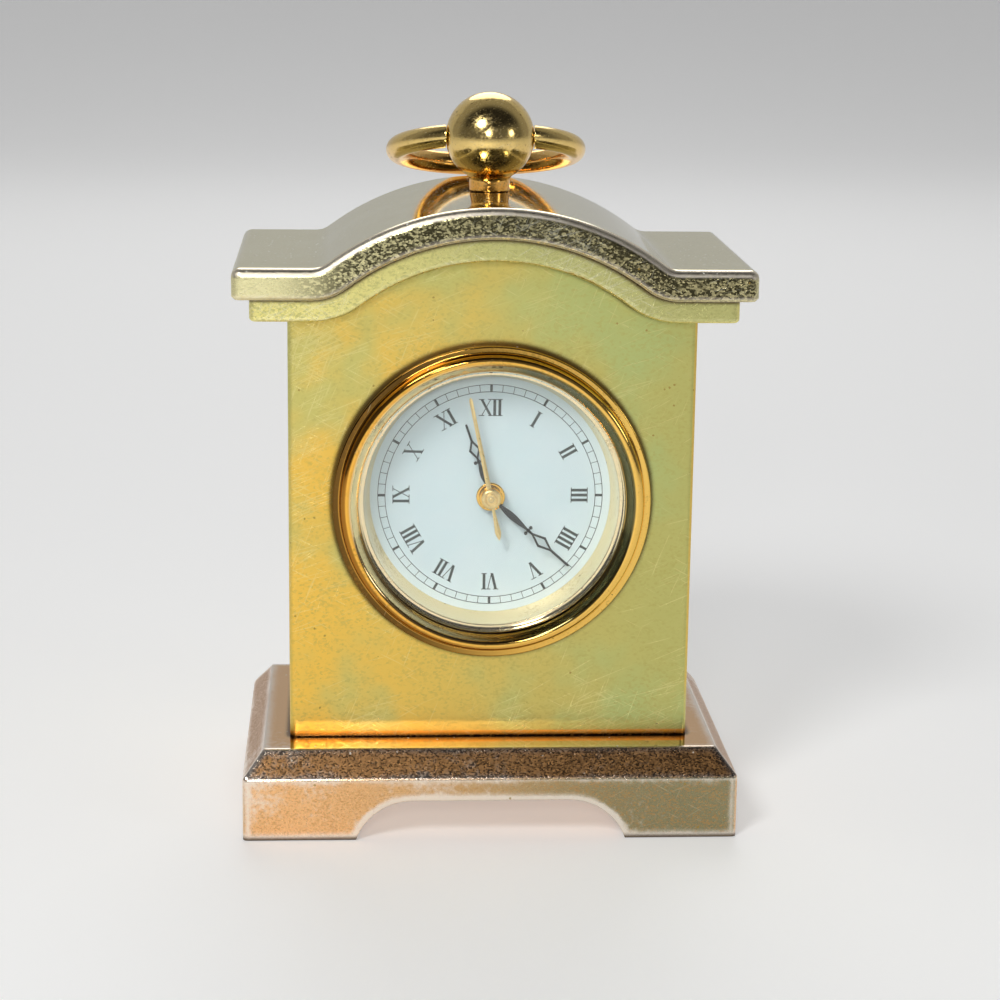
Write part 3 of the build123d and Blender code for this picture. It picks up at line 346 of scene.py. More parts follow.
satin = dict(polished, **{
    # the olive right side of the body is a painted reflection
    "colour": (1.0, 0.63, 0.11, 1), "paintedLightEndColour": (0.60, 0.57, 0.19, 1), "paintedLightSpan": (-0.019, 0.017),
    "frontOnly": True, "cloudColour": (0.50, 0.62, 0.25, 1), "cloudShare": 0.6, "cloudSpread": 75.0,
    "cloudEdge": (0.42, 0.62), "warmReflectionColour": (1.0, 0.44, 0.06, 1), "warmReflectionShare": 0.85,
    "warmReflectionSpan": (0.58, 0.44),  # mm above the body's foot, where the painted warm reflection ends
    "tarnishReflectionColour": (0.56, 0.48, 0.14, 1), "tarnishReflectionShare": 0.55, "tarnishReflectionSoftness": 0.8,
    "tarnishReflectionCover": 0.45, "tarnishReflectionSpread": 130.0, "sparkle": 0.9, "patchiness": 0.22, "brushing": 0.7,
    "grainFineness": 4000.0, "grainRoughness": 0.26, "grainDepth": 2.0e-6, "creaseShadeGrimeShare": 0.9,
    "scratchShare": 0.24, "scratchAmount": 1.1, "scratchDepth": 1.2e-6, "scratchRoughness": -0.06,
    "scratchFineness": 10000.0, "scratchColour": (1.0, 0.90, 0.45, 1), "edgeWidth": 0.0004, "edgeShare": 0.35,
    "edgePolish": 0.4, "roughness": 0.27, "pitShare": 0.012, "pitColour": (0.42, 0.28, 0.07, 1),
    "topPolish": 0.55,
})
champagne = dict(satin, **{
    # on the cap, the darker middle and the near-black tarnish are painted dark reflections
    "colour": (0.93, 0.86, 0.47, 1), "paintedLightEndColour": (0.52, 0.46, 0.24, 1), "paintedLightSpan": (-0.019, 0.004),
    "cloudShare": 0.0, "rimHighlightShare": 0.7, "topSlope": (0.5, 0.75), "tarnishReflectionColour": (0.03, 0.026, 0.012, 1),
    "tarnishReflectionShare": 0.95, "tarnishReflectionCover": 2.0, "tarnishReflectionSpread": 80.0, "tarnishReflectionAcross": (-0.019, -0.011),
    "sparkle": 1.1, "patchiness": 0.3, "grainFineness": 4800.0, "grainDepth": 6e-6, "roughness": 0.14,
    "edgeColour": (1.0, 0.90, 0.78, 1), "edgeShare": 0.4, "edgeWidth": 0.0005, "edgeRound": 0.0003,
    "edgePolish": -1.6, "scratchAmount": 1.3, "scratchColour": (1.0, 0.98, 0.76, 1), "dustShare": 0.5,
    "topPolish": 0.8,
})
paleMoulding = dict(champagne, **{
    "colour": (0.98, 0.88, 0.32, 1), "paintedLightEndColour": (0.62, 0.60, 0.24, 1),
    "tarnishReflectionColour": (0.46, 0.45, 0.16, 1), "tarnishReflectionAcross": (-0.2, -0.1), "tarnishReflectionSoftness": 0.5,
    "sparkle": 0.7, "rimHighlightShare": 0.2, "tarnishReflectionShare": 0.6, "tarnishReflectionCover": 0.5, "patchiness": 0.25,
    "roughness": 0.2, "edgeShare": 0.25, "edgePolish": 0.0, "grainFineness": 4200.0,
})
foot = dict(satin, **{
    "colour": (1.0, 0.57, 0.26, 1), "paintedLightEndColour": (0.30, 0.27, 0.15, 1), "paintedLightSpan": (-0.02, 0.016),
    "cloudShare": 0.0, "slopeToneReflectionColour": (0.325, 0.13, 0.033, 1), "slopeToneReflectionShare": 0.6,
    "tarnishReflectionColour": (0.62, 0.32, 0.10, 1), "tarnishReflectionShare": 0.6, "tarnishReflectionCover": 0.5, "tarnishReflectionSpread": 300.0,
    "tarnishReflectionSoftness": 0.7, "sparkle": 1.1, "patchiness": 0.08, "brushing": 0.8, "grainFineness": 6400.0,
    "grainRoughness": 0.4, "grainDepth": 3e-6, "roughness": 0.12, "edgeColour": (1.0, 0.92, 0.82, 1),
    "edgeShare": 0.8, "edgeWidth": 0.0013, "edgeRound": 0.0004, "edgeBreakUp": 1.2, "scratchAmount": 0.5,
    "scratchColour": (0.98, 0.84, 0.62, 1), "topPolish": 0.8,
})
steel = dict(satin, **{
    "frontOnly": False, "cloudShare": 0.0, "creaseShadeGrimeShare": 0.0,
    "colour": (0.58, 0.58, 0.57, 1), "paintedLightEndColour": (0.56, 0.56, 0.55, 1),
    "tarnishReflectionColour": (0.40, 0.40, 0.39, 1), "edgeColour": (0.80, 0.80, 0.79, 1),
    "scratchColour": (0.75, 0.75, 0.74, 1), "edgeWidth": 0.0001,
    "edgeRound": 0.00005, "grainDepth": 8e-7, "scratchDepth": 3e-7, "dustShare": 0.0, "pitShare": 0.0,
    "topPolish": 0.0, "brushing": 1.0,
})
gearBrass = dict(steel, **{
    "colour": (0.80, 0.62, 0.32, 1), "paintedLightEndColour": (0.78, 0.60, 0.30, 1),
    "tarnishReflectionColour": (0.60, 0.44, 0.20, 1), "edgeColour": (0.92, 0.78, 0.50, 1),
    "scratchColour": (0.90, 0.76, 0.48, 1), "edgeWidth": 0.00004,
})
shell = dict(steel, **{
    "colour": (0.74, 0.66, 0.48, 1), "paintedLightEndColour": (0.72, 0.64, 0.46, 1),
    "tarnishReflectionColour": (0.52, 0.46, 0.34, 1), "edgeColour": (0.88, 0.84, 0.72, 1), "edgeWidth": 0.0002,
})
metals = {
    "satinBrass": (satin, ["case_body"]),
    "champagneBrass": (champagne, ["cornice_cap"]),
    "paleBrass": (paleMoulding, ["cornice_moulding"]),
    "footBrass": (foot, ["plinth"]),
    "polishedGold": (knobGold, ["ball_finial", "ring_handle"]),
    "plainSteel": (steel, ["base_screws", "cornice_dowels", "bridge_screws", "strap_screw", "setting_stem",
                           "clutch_pinion", "stator", "coil_core", "battery_strap", "oscillator_can", "rotor",
                           "battery", "crown"]),
    "trainBrass": (gearBrass, ["main_plate", "train_bridge", "centre_wheel", "third_wheel", "seconds_wheel",
                               "hour_wheel", "minute_wheel"]),
    "shellMetal": (shell, ["insert_cup", "insert_back"]),
}


def dress(name, material):
    nodes[name].material_slots[0].material = material


for name, (look, carried) in metals.items():
    finish = metalFinish(name, look)
    for node in carried:
        dress(node, finish)


# painted, moulded and wound surfaces: a mottled colour with a fine bump
def plainFinish(name, look):
    material = bpy.data.materials.new(name)
    material.use_nodes = True
    tree = material.node_tree
    shader = tree.nodes["Principled BSDF"]
    place = addNode(tree, "ShaderNodeTexCoord").outputs["Object"]
    wear = placeGroup(tree, wearGroup, {
        "Place": place, "Width": look.get("edgeWidth", 0.0001), "Break Up": 0.3, "Round": 0.00004})
    mottle = noise(tree, place, look["mottleScale"], 4.0, 0.6)
    fine = noise(tree, place, look["fineScale"], 2.0)
    colour = blendColour(tree, ease(tree, mottle, 0.35, 0.65), look["colour"], look["mottleColour"])
    colour = blendColour(tree, times(tree, wear["Edge"], look.get("edgeShare", 0.3)),
                         colour, look["edgeColour"])
    tree.links.new(colour, shader.inputs["Base Color"])
    rough = plus(tree, look["roughness"], times(tree, fine, 0.08))
    tree.links.new(rough, shader.inputs["Roughness"])
    height = times(tree, fine, look["fineDepth"])
    bump = addNode(tree, "ShaderNodeBump", {"Height": height, "Distance": 1.0, "Normal": wear["Soft Normal"]})
    tree.links.new(bump.outputs[0], shader.inputs["Normal"])
    shader.inputs["Metallic"].default_value = look.get("metallic", 0.0)
    return material


plains = {
    "dialEnamel": ({
        "colour": (0.54, 0.63, 0.65, 1), "mottleColour": (0.52, 0.62, 0.64, 1),
        "edgeColour": (0.9, 0.9, 0.9, 1), "mottleScale": 300.0, "fineScale": 9000.0, "fineDepth": 4e-7,
        "roughness": 0.38}, ["dial"]),
    "handBlack": ({
        "colour": (0.012, 0.015, 0.012, 1), "mottleColour": (0.02, 0.022, 0.02, 1),
        "edgeColour": (0.10, 0.10, 0.09, 1), "mottleScale": 2500.0, "fineScale": 9000.0, "fineDepth": 6e-7,
        "roughness": 0.45, "edgeWidth": 0.00003, "edgeShare": 0.5}, ["hour_hand", "minute_hand"]),
    "gripPlastic": ({
        "colour": (0.82, 0.81, 0.76, 1), "mottleColour": (0.78, 0.77, 0.72, 1),
        "edgeColour": (0.9, 0.9, 0.88, 1), "mottleScale": 400.0, "fineScale": 5000.0, "fineDepth": 2e-6,
        "roughness": 0.45}, ["grip_ring", "movement_holder", "intermediate_wheel"]),
    "copperWire": ({
        "colour": (0.62, 0.26, 0.10, 1), "mottleColour": (0.74, 0.34, 0.14, 1),
        "edgeColour": (0.8, 0.45, 0.25, 1), "mottleScale": 6000.0, "fineScale": 9000.0, "fineDepth": 3e-6,
        "roughness": 0.25, "metallic": 1.0}, ["coil_winding"]),
    "boardGreen": ({
        "colour": (0.03, 0.17, 0.08, 1), "mottleColour": (0.04, 0.21, 0.10, 1),
        "edgeColour": (0.35, 0.33, 0.2, 1), "mottleScale": 1500.0, "fineScale": 7000.0, "fineDepth": 2e-6,
        "roughness": 0.3}, ["circuit_board"]),
    "chipBlack": ({
        "colour": (0.02, 0.02, 0.02, 1), "mottleColour": (0.03, 0.03, 0.03, 1),
        "edgeColour": (0.1, 0.1, 0.1, 1), "mottleScale": 4000.0, "fineScale": 9000.0, "fineDepth": 3e-6,
        "roughness": 0.55}, ["circuit_chip"]),
}
plainMaterials = {}
for name, (look, carried) in plains.items():
    plainMaterials[name] = plainFinish(name, look)
    for node in carried:
        dress(node, plainMaterials[name])


def crystalGlass():
    material = bpy.data.materials.new("crystalGlass")
    material.use_nodes = True
    tree = material.node_tree
    shader = tree.nodes["Principled BSDF"]
    shader.inputs["Base Color"].default_value = (0.96, 0.985, 0.98, 1)
    shader.inputs["Transmission Weight"].default_value = 1.0
    shader.inputs["IOR"].default_value = 1.49
    shader.inputs["Roughness"].default_value = 0.0
    clear = addNode(tree, "ShaderNodeBsdfTransparent")
    shadow = addNode(tree, "ShaderNodeLightPath").outputs["Is Shadow Ray"]  # lets the lamps reach the dial
    mixed = addNode(tree, "ShaderNodeMixShader", {0: shadow, 1: shader.outputs[0], 2: clear.outputs[0]})
    tree.links.new(mixed.outputs[0], tree.nodes["Material Output"].inputs["Surface"])
    return material


dress("crystal", crystalGlass())
print("finishes made:", len(bpy.data.materials))


def onInsert(x, y, level):  # a point before the flange, in mm from the dial's axis
    return Vector((x * mm, flangeFront - level * mm, dialZ + y * mm))


def finishPiece(name, mesh, material, body, replaced=(), smooth=False):
    bmesh.ops.recalc_face_normals(mesh, faces=mesh.faces)
    data = bpy.data.meshes.new(name)
    mesh.to_mesh(data)
    mesh.free()
    data.materials.append(material)
    data.shade_smooth() if smooth else data.shade_flat()
    piece = bpy.data.objects.new(name, data)
    bpy.context.scene.collection.objects.link(piece)
    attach(piece, body)
    if replaced:
        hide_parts(*replaced)
    return piece


def addPrism(mesh, outline, back, front):  # a closed flat piece, its outline seen from the front
    low = [mesh.verts.new(onInsert(x, y, back)) for x, y in outline]
    high = [mesh.verts.new(onInsert(x, y, front)) for x, y in outline]
    mesh.faces.new(high)
    mesh.faces.new(low[::-1])
    count = len(outline)
    for index in range(count):
        after = (index + 1) % count
        mesh.faces.new((low[index], low[after], high[after], high[index]))


def turnedPoint(x, y, turn):
    return x * math.cos(turn) - y * math.sin(turn), x * math.sin(turn) + y * math.cos(turn)


def curved(start, pull, end, count=8):  # a quadratic curve without its start
    points = []
    for step in range(1, count + 1):
        t = step / count
        points.append(tuple((1 - t) ** 2 * a + 2 * t * (1 - t) * b + t * t * c
                            for a, b, c in zip(start, pull, end)))
    return points


def addTurned(mesh, profile, steps=256):  # the profile is closed, as (radius, level)
    rings = []
    for radius, level in profile:
        if radius == 0:
            rings.append([mesh.verts.new(onInsert(0, 0, level))])
            continue
        angles = [2 * math.pi * step / steps for step in range(steps)]
        rings.append([mesh.verts.new(onInsert(radius * math.cos(a), radius * math.sin(a), level))
                      for a in angles])
    for first, second in zip(rings, rings[1:] + rings[:1]):
        if len(first) == 1 and len(second) == 1:
            continue
        for step in range(steps):
            after = (step + 1) % steps
            corners = [first[step % len(first)], first[after % len(first)],
                       second[after % len(second)], second[step % len(second)]]
            corners = [corner for index, corner in enumerate(corners) if corner not in corners[:index]]
            mesh.faces.new(corners)


bezelShape = {  # radii and levels in mm, level 0 on the flange's front
    "rim": 13.5, "rimRound": 0.16, "flange": 13.05, "crest": 12.25, "crestHeight": 0.86, "crestFlat": 0.08,
    "crystalRim": 11.35, "ledge": 10.9, "ledgeLevel": -1.12, "window": 10.35, "dialLevel": -3.5,
    "skirt": 11.68, "back": -1.0,
    "footPull": 0.1, "footRun": 0.13, "footRise": 0.12,  # where the bead rises from the flange
    "outerPull": 0.6, "innerPull": 0.22, "shoulderRun": 0.34, "shoulder": 0.6,  # the bead's two sides
    "slopePull": (0.28, 0.06), "slopeEnd": (0.04, -0.14),  # the inner slope
    "rimPull": -0.18, "rimTop": -0.24,  # down to the crystal
    "ledgeRound": 0.05, "wallRun": 0.02, "wallTop": -1.2, "wallPull": (0.1, -2.6),  # and down to the dial
}
goldFinish = metalFinish("bezelGold", bezelGold)


def makeBezel(shape):
    rim, flange, crest, high = shape["rim"], shape["flange"], shape["crest"], shape["crestHeight"]
    glass, ledge, seat = shape["crystalRim"], shape["ledge"], shape["ledgeLevel"]
    profile = [(rim, shape["back"]), (rim, -shape["rimRound"])]
    profile += curved(profile[-1], (rim, 0), (rim - shape["rimRound"], 0.0))
    profile += [(flange, 0.0)]
    profile += curved(profile[-1], (flange - shape["footPull"], 0.0),
                      (flange - shape["footRun"], shape["footRise"]), 5)
    profile += curved(profile[-1], (crest + shape["outerPull"], high), (crest + shape["crestFlat"], high), 14)
    profile += curved(profile[-1], (crest - shape["innerPull"], high),
                      (crest - shape["shoulderRun"], shape["shoulder"]), 10)
    profile += curved(profile[-1], (glass + shape["slopePull"][0], shape["slopePull"][1]),
                      (glass + shape["slopeEnd"][0], shape["slopeEnd"][1]), 12)
    profile += curved(profile[-1], (glass, shape["rimPull"]), (glass, shape["rimTop"]), 4)
    profile += [(glass, seat), (ledge + shape["ledgeRound"], seat)]
    profile += curved(profile[-1], (ledge, seat), (ledge - shape["wallRun"], shape["wallTop"]), 4)
    profile += curved(profile[-1], (ledge - shape["wallPull"][0], shape["wallPull"][1]),
                      (shape["window"], shape["dialLevel"]), 16)
    profile += [(shape["skirt"], shape["dialLevel"]), (shape["skirt"], shape["back"])]
    mesh = bmesh.new()
    addTurned(mesh, profile)
    piece = finishPiece("bezelTurned", mesh, goldFinish, "insert", ["bezel"], smooth=True)
    piece.data.set_sharp_from_angle(angle=math.radians(35))


makeBezel(bezelShape)
print("bezel made")


track = {  # mm
    "outerRadius": 9.66, "innerRadius": 9.04, "line": 0.055, "minuteLine": 0.05, "hourLine": 0.22,
    "ink": 0.012,
}
ink = {
    "colour": (0.030, 0.040, 0.036, 1), "mottleColour": (0.045, 0.055, 0.05, 1),
    "edgeColour": (0.07, 0.08, 0.075, 1), "mottleScale": 3500.0, "fineScale": 9000.0, "fineDepth": 3e-7,
    "roughness": 0.5,
}
inkFinish = plainFinish("dialInk", ink)


def geometryTree(name, sizes):
    tree = bpy.data.node_groups.new(name, "GeometryNodeTree")
    tree.interface.new_socket(name="Geometry", in_out="OUTPUT", socket_type="NodeSocketGeometry")
    for label, kind, value in sizes:
        tree.interface.new_socket(name=label, in_out="INPUT", socket_type=kind).default_value = value
    return (tree, tree.nodes.new("NodeGroupInput").outputs,
            tree.nodes.new("NodeGroupOutput").inputs["Geometry"])


def lineRing(tree, radius, width, height):
    path = addNode(tree, "GeometryNodeCurvePrimitiveCircle",
                   {"Resolution": 240, "Radius": radius}).outputs["Curve"]
    section = addNode(tree, "GeometryNodeCurvePrimitiveQuadrilateral", {"Width": width, "Height": height})
    swept = {"Curve": path, "Profile Curve": section.outputs["Curve"]}
    return addNode(tree, "GeometryNodeCurveToMesh", swept).outputs["Mesh"]


def markRing(tree, count, radius, length, width, height):
    points = addNode(tree, "GeometryNodeMeshCircle", {"Vertices": count, "Radius": radius}).outputs["Mesh"]
    size = addNode(tree, "ShaderNodeCombineXYZ", {0: length, 1: width, 2: height}).outputs[0]
    mark = addNode(tree, "GeometryNodeMeshCube", {"Size": size}).outputs["Mesh"]
    place = addNode(tree, "GeometryNodeInputPosition").outputs[0]
    turn = addNode(tree, "FunctionNodeAlignRotationToVector", {"Vector": place}, axis="X", pivot_axis="Z")
    marks = {"Points": points, "Instance": mark, "Rotation": turn.outputs["Rotation"]}
    return addNode(tree, "GeometryNodeInstanceOnPoints", marks).outputs[0]


def makeTrack(shape):
    sizes = [("Outer Radius", "NodeSocketFloat", shape["outerRadius"] * mm),
             ("Inner Radius", "NodeSocketFloat", shape["innerRadius"] * mm),
             ("Line", "NodeSocketFloat", shape["line"] * mm),
             ("Minute Line", "NodeSocketFloat", shape["minuteLine"] * mm),
             ("Hour Line", "NodeSocketFloat", shape["hourLine"] * mm),
             ("Ink", "NodeSocketFloat", shape["ink"] * mm),
             ("Minutes", "NodeSocketInt", 60), ("Hours", "NodeSocketInt", 12)]
    tree, given, result = geometryTree("minuteTrack", sizes)
    middle = times(tree, plus(tree, given["Outer Radius"], given["Inner Radius"]), 0.5)
    length = maths(tree, "SUBTRACT", given["Outer Radius"], given["Inner Radius"])
    joined = addNode(tree, "GeometryNodeJoinGeometry")
    for part in (lineRing(tree, given["Outer Radius"], given["Line"], given["Ink"]),
                 lineRing(tree, given["Inner Radius"], given["Line"], given["Ink"]),
                 markRing(tree, given["Minutes"], middle, length, given["Minute Line"], given["Ink"]),
                 markRing(tree, given["Hours"], middle, length, given["Hour Line"], given["Ink"])):
        tree.links.new(part, joined.inputs[0])
    solid = addNode(tree, "GeometryNodeRealizeInstances", {0: joined.outputs[0]}).outputs[0]
    dressed = addNode(tree, "GeometryNodeSetMaterial", {"Geometry": solid, "Material": inkFinish}).outputs[0]
    tree.links.new(dressed, result)
    carrier = bpy.data.objects.new("trackMaker", bpy.data.meshes.new("trackMaker"))
    bpy.context.scene.collection.objects.link(carrier)
    modifier = carrier.modifiers.new("minuteTrack", "NODES")
    modifier.node_group = tree
    values = {label: value for label, kind, value in sizes}
    for item in tree.interface.items_tree:
        if item.in_out == "INPUT":
            modifier[item.identifier] = values[item.name]
    made = bpy.data.meshes.new_from_object(carrier.evaluated_get(bpy.context.evaluated_depsgraph_get()))
    bpy.data.objects.remove(carrier)
    seat = (Matrix.Translation((0, dialFront - shape["ink"] * mm / 4, dialZ))
            @ Matrix.Rotation(math.radians(90), 4, "X"))
    made.transform(seat)
    piece = bpy.data.objects.new("minute_track", made)
    bpy.context.scene.collection.objects.link(piece)
    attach(piece, "insert")


numerals = {
    "height": 1.46, "radius": 7.67, "ink": 0.012,  # mm, and the rest in letter heights
    "thick": 0.165, "thin": 0.05, "serif": 0.046, "serifReach": 0.165, "slantX": 0.27, "slantV": 0.24,
    "footV": 0.02,
}
widths = {"I": 0.30, "V": 0.62, "X": 0.70}
hours = ["XII", "I", "II", "III", "IIII", "V", "VI", "VII", "VIII", "IX", "X", "XI"]


def strokes(letter, shape):  # (foot x, top x, width, foot y, top y) in letter heights
    thick, thin, reach, serif = shape["thick"], shape["thin"], 2 * shape["serifReach"], shape["serif"]
    top, bottom = 0.5 - serif, -0.5 + serif
    if letter == "I":
        return [(0, 0, thick, -0.5, 0.5), (0, 0, reach, top, 0.5), (0, 0, reach, -0.5, bottom)]
    if letter == "V":
        slant = shape["slantV"]
        caps = [(side * slant, side * slant, reach, top, 0.5) for side in (-1, 1)]
        return [(0, -slant, thick, -0.5, 0.5), (shape["footV"], slant, thin, -0.5, 0.5)] + caps
    slant = shape["slantX"]
    caps = [(side * slant, side * slant, reach, low, high)
            for side in (-1, 1) for low, high in ((top, 0.5), (-0.5, bottom))]
    return [(slant, -slant, thick, -0.5, 0.5), (-slant, slant, thin, -0.5, 0.5)] + caps


def makeNumerals(shape):
    mesh = bmesh.new()
    level = (flangeFront - dialFront) / mm
    for hour, text in enumerate(hours):
        turn = -math.radians(30 * hour)
        at = -sum(widths[letter] for letter in text) / 2
        for letter in text:
            centre = at + widths[letter] / 2
            at += widths[letter]
            for footX, topX, width, footY, topY in strokes(letter, shape):
                half = width / 2
                corners = [(footX - half, footY), (footX + half, footY),
                           (topX + half, topY), (topX - half, topY)]
                outline = [turnedPoint((x + centre) * shape["height"],
                                       y * shape["height"] + shape["radius"], turn) for x, y in corners]
                addPrism(mesh, outline, level - shape["ink"] / 4, level + shape["ink"] * 3 / 4)
    finishPiece("numerals", mesh, inkFinish, "insert")


makeTrack(track)
makeNumerals(numerals)
print("dial printed")


handShape = {  # mm and degrees; an eye is the ring round the arbor
    "hour": {"length": 6.65, "root": 1.0, "swell": 0.52, "collar": 0.9, "diamond": 1.0, "angle": 340.96,
             "eye": (0.86, 1.12), "node": "hour_hand"},
    "minute": {"length": 9.1, "root": 0.8, "swell": 0.58, "collar": 0.95, "diamond": 1.07, "angle": 131.8,
               "eye": (0.62, 0.95), "node": "minute_hand"},
}
handLine = {
    "width": 0.2, "thickness": 0.13, "lobe": 0.15, "eyeThickness": 0.12,
    "collarAt": 0.48, "footAt": 0.53, "wideAt": 0.65, "headAt": 0.77,  # shares of the length
}


def ribbon(points, halves):  # the outline of a strip, half its width at each point
    left, right = [], []
    for index, (point, half) in enumerate(zip(points, halves)):
        before, after = Vector(points[max(index - 1, 0)]), Vector(points[min(index + 1, len(points) - 1)])
        run = (after - before).normalized()
        side = Vector((-run.y, run.x)) * half
        left.append(Vector(point) + side)
        right.append(Vector(point) - side)
    return [tuple(p) for p in right] + [tuple(p) for p in reversed(left)]


def disc(x, y, radius, count=20):
    angles = [2 * math.pi * k / count for k in range(count)]
    return [(x + radius * math.cos(a), y + radius * math.sin(a)) for a in angles]


def makeHand(kind, shape, line):
    length, half = shape["length"], line["width"] / 2
    collar, foot = length * line["collarAt"], length * line["footAt"]
    wide, head = length * line["wideAt"], length * line["headAt"]
    steps = 24
    legAlong = [shape["root"] + (collar - shape["root"]) * k / steps for k in range(steps + 1)]
    slim = half * 0.8
    legHalf = [slim + (shape["swell"] / 2 - slim) * math.sin(math.pi * (k / steps) ** 0.9) ** 1.4
               for k in range(steps + 1)]
    corner = shape["diamond"] / 2 - half
    outlines = [
        ribbon([(0, y) for y in legAlong], legHalf),
        ribbon([(0, collar), (0, foot + half)], [half * 0.9, half * 0.8]),
        ribbon([(0, foot), (-corner, wide), (0, head)], [half * 0.75, half, half * 0.8]),
        ribbon([(0, foot), (corner, wide), (0, head)], [half * 0.75, half, half * 0.8]),
        ribbon([(0, head - half), (0, length - half)], [half, half * 0.95]),
        disc(0, length - half, half * 0.95), disc(0, foot, half * 0.95), disc(0, head, half),
        disc(0, collar, line["lobe"] * 1.15), disc(0, collar + line["lobe"] * 1.5, line["lobe"] * 0.75),
    ]
    for side in (-1, 1):
        reach = side * (shape["collar"] / 2 - line["lobe"])
        outlines += [disc(reach, collar, line["lobe"]), disc(side * corner, wide, half * 1.05)]
    turn = -math.radians(shape["angle"])
    low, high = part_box(shape["node"])
    back, front = (flangeFront - high.y) / mm, (flangeFront - low.y) / mm
    middle = (back + front) / 2
    mesh = bmesh.new()
    for outline in outlines:
        turned = [turnedPoint(x, y, turn) for x, y in outline]
        addPrism(mesh, turned, middle - line["thickness"] / 2, middle + line["thickness"] / 2)
    inner, outer = shape["eye"]
    low, high = middle - line["eyeThickness"] / 2, middle + line["eyeThickness"] / 2
    addTurned(mesh, [(inner, low), (outer, low), (outer, high), (inner, high)], 64)
    finishPiece(kind + "HandBlade", mesh, plainMaterials["handBlack"], kind, [shape["node"]])


for kind, shape in handShape.items():
    makeHand(kind, shape, handLine)

hubShape = {  # mm
    "hourBoss": 1.23, "hourBore": 0.8, "minuteBoss": 1.0, "minuteBore": 0.56, "bossRound": (0.09, 0.08),
    "hub": 0.83, "hubRound": 0.14, "hubSide": 0.12, "hubPull": 0.02, "groove": (0.26, 0.3, 0.36, 0.4),
    "grooveDepth": 0.08, "pin": 0.175, "pinGap": 0.03, "pinGapDepth": 0.05, "pinSide": 0.03, "pinRound": 0.04,
    "pinShoulder": 0.06, "pinTop": 0.07,
}
secondShape = {
    "angle": 348.0, "ridge": 0.07, "thickness": 0.08,
    "stations": [(-3.75, 0.02), (-3.45, 0.17), (-3.05, 0.27), (-2.4, 0.21), (-1.2, 0.13), (0.0, 0.22),
                 (8.75, 0.15), (8.95, 0.03)],  # along the hand and half its width
}


def makeBosses(shape):
    across, along = shape["bossRound"]
    for body in ("hour", "minute"):
        name, node, outer, inner = body + "Boss", body + "_collet", shape[body + "Boss"], shape[body + "Bore"]
        low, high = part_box(node)
        back, front = (flangeFront - high.y) / mm, (flangeFront - low.y) / mm
        profile = [(outer, back), (outer, front - along)]
        profile += curved(profile[-1], (outer, front), (outer - across, front), 5)
        profile += [(inner, front), (inner, back)]
        mesh = bmesh.new()
        addTurned(mesh, profile, 96)
        piece = finishPiece(name, mesh, goldFinish, body, [node], smooth=True)
        piece.data.set_sharp_from_angle(angle=math.radians(40))


def makeSecondHand(shape, hub):
    low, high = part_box("second_hand")
    back, front = (flangeFront - high.y) / mm, (flangeFront - low.y) / mm
    turn = -math.radians(shape["angle"])
    mesh = bmesh.new()
    sections = []
    for along, half in shape["stations"]:
        corners = [(-half, back), (-half, back + shape["thickness"]),
                   (0, back + shape["thickness"] + shape["ridge"]),
                   (half, back + shape["thickness"]), (half, back)]
        sections.append([mesh.verts.new(onInsert(*turnedPoint(x, along, turn), level))
                         for x, level in corners])
    for first, second in zip(sections, sections[1:]):
        for index in range(5):
            after = (index + 1) % 5
            mesh.faces.new((first[index], first[after], second[after], second[index]))
    mesh.faces.new(sections[0])
    mesh.faces.new(sections[-1][::-1])
    edge, pin, groove, deep = hub["hub"], hub["pin"], hub["groove"], front - hub["grooveDepth"]
    rim = [(0.0, back), (edge, back), (edge, front - hub["hubSide"])]
    rim += curved(rim[-1], (edge, front - hub["hubPull"]), (edge - hub["hubRound"], front), 6)
    rim += [(edge - groove[0], front), (edge - groove[1], deep),
            (edge - groove[2], deep), (edge - groove[3], front)]
    rim += [(pin + hub["pinGap"], front), (pin, front - hub["pinGapDepth"]), (pin, front + hub["pinSide"])]
    rim += [(pin - hub["pinRound"], front + hub["pinShoulder"]), (0.0, front + hub["pinTop"])]
    addTurned(mesh, rim, 96)
    piece = finishPiece("secondHandBlade", mesh, goldPale, "second", ["second_hand"],
                        smooth=True)
    piece.data.set_sharp_from_angle(angle=math.radians(25))


goldPale = metalFinish("paleGold", dict(polished, **{
    "colour": (0.92, 0.68, 0.30, 1), "edgeColour": (0.95, 0.84, 0.58, 1), "roughness": 0.26,
    "edgeRound": 0.00003, "paintedLightEndColour": (0.90, 0.66, 0.28, 1), "edgeWidth": 0.00003, "pitShare": 0.0,
    "scratchAmount": 0.0, "tarnishReflectionShare": 0.2, "grainDepth": 2e-7,
}))
makeBosses(hubShape)
makeSecondHand(secondShape, hubShape)
print("hands made")


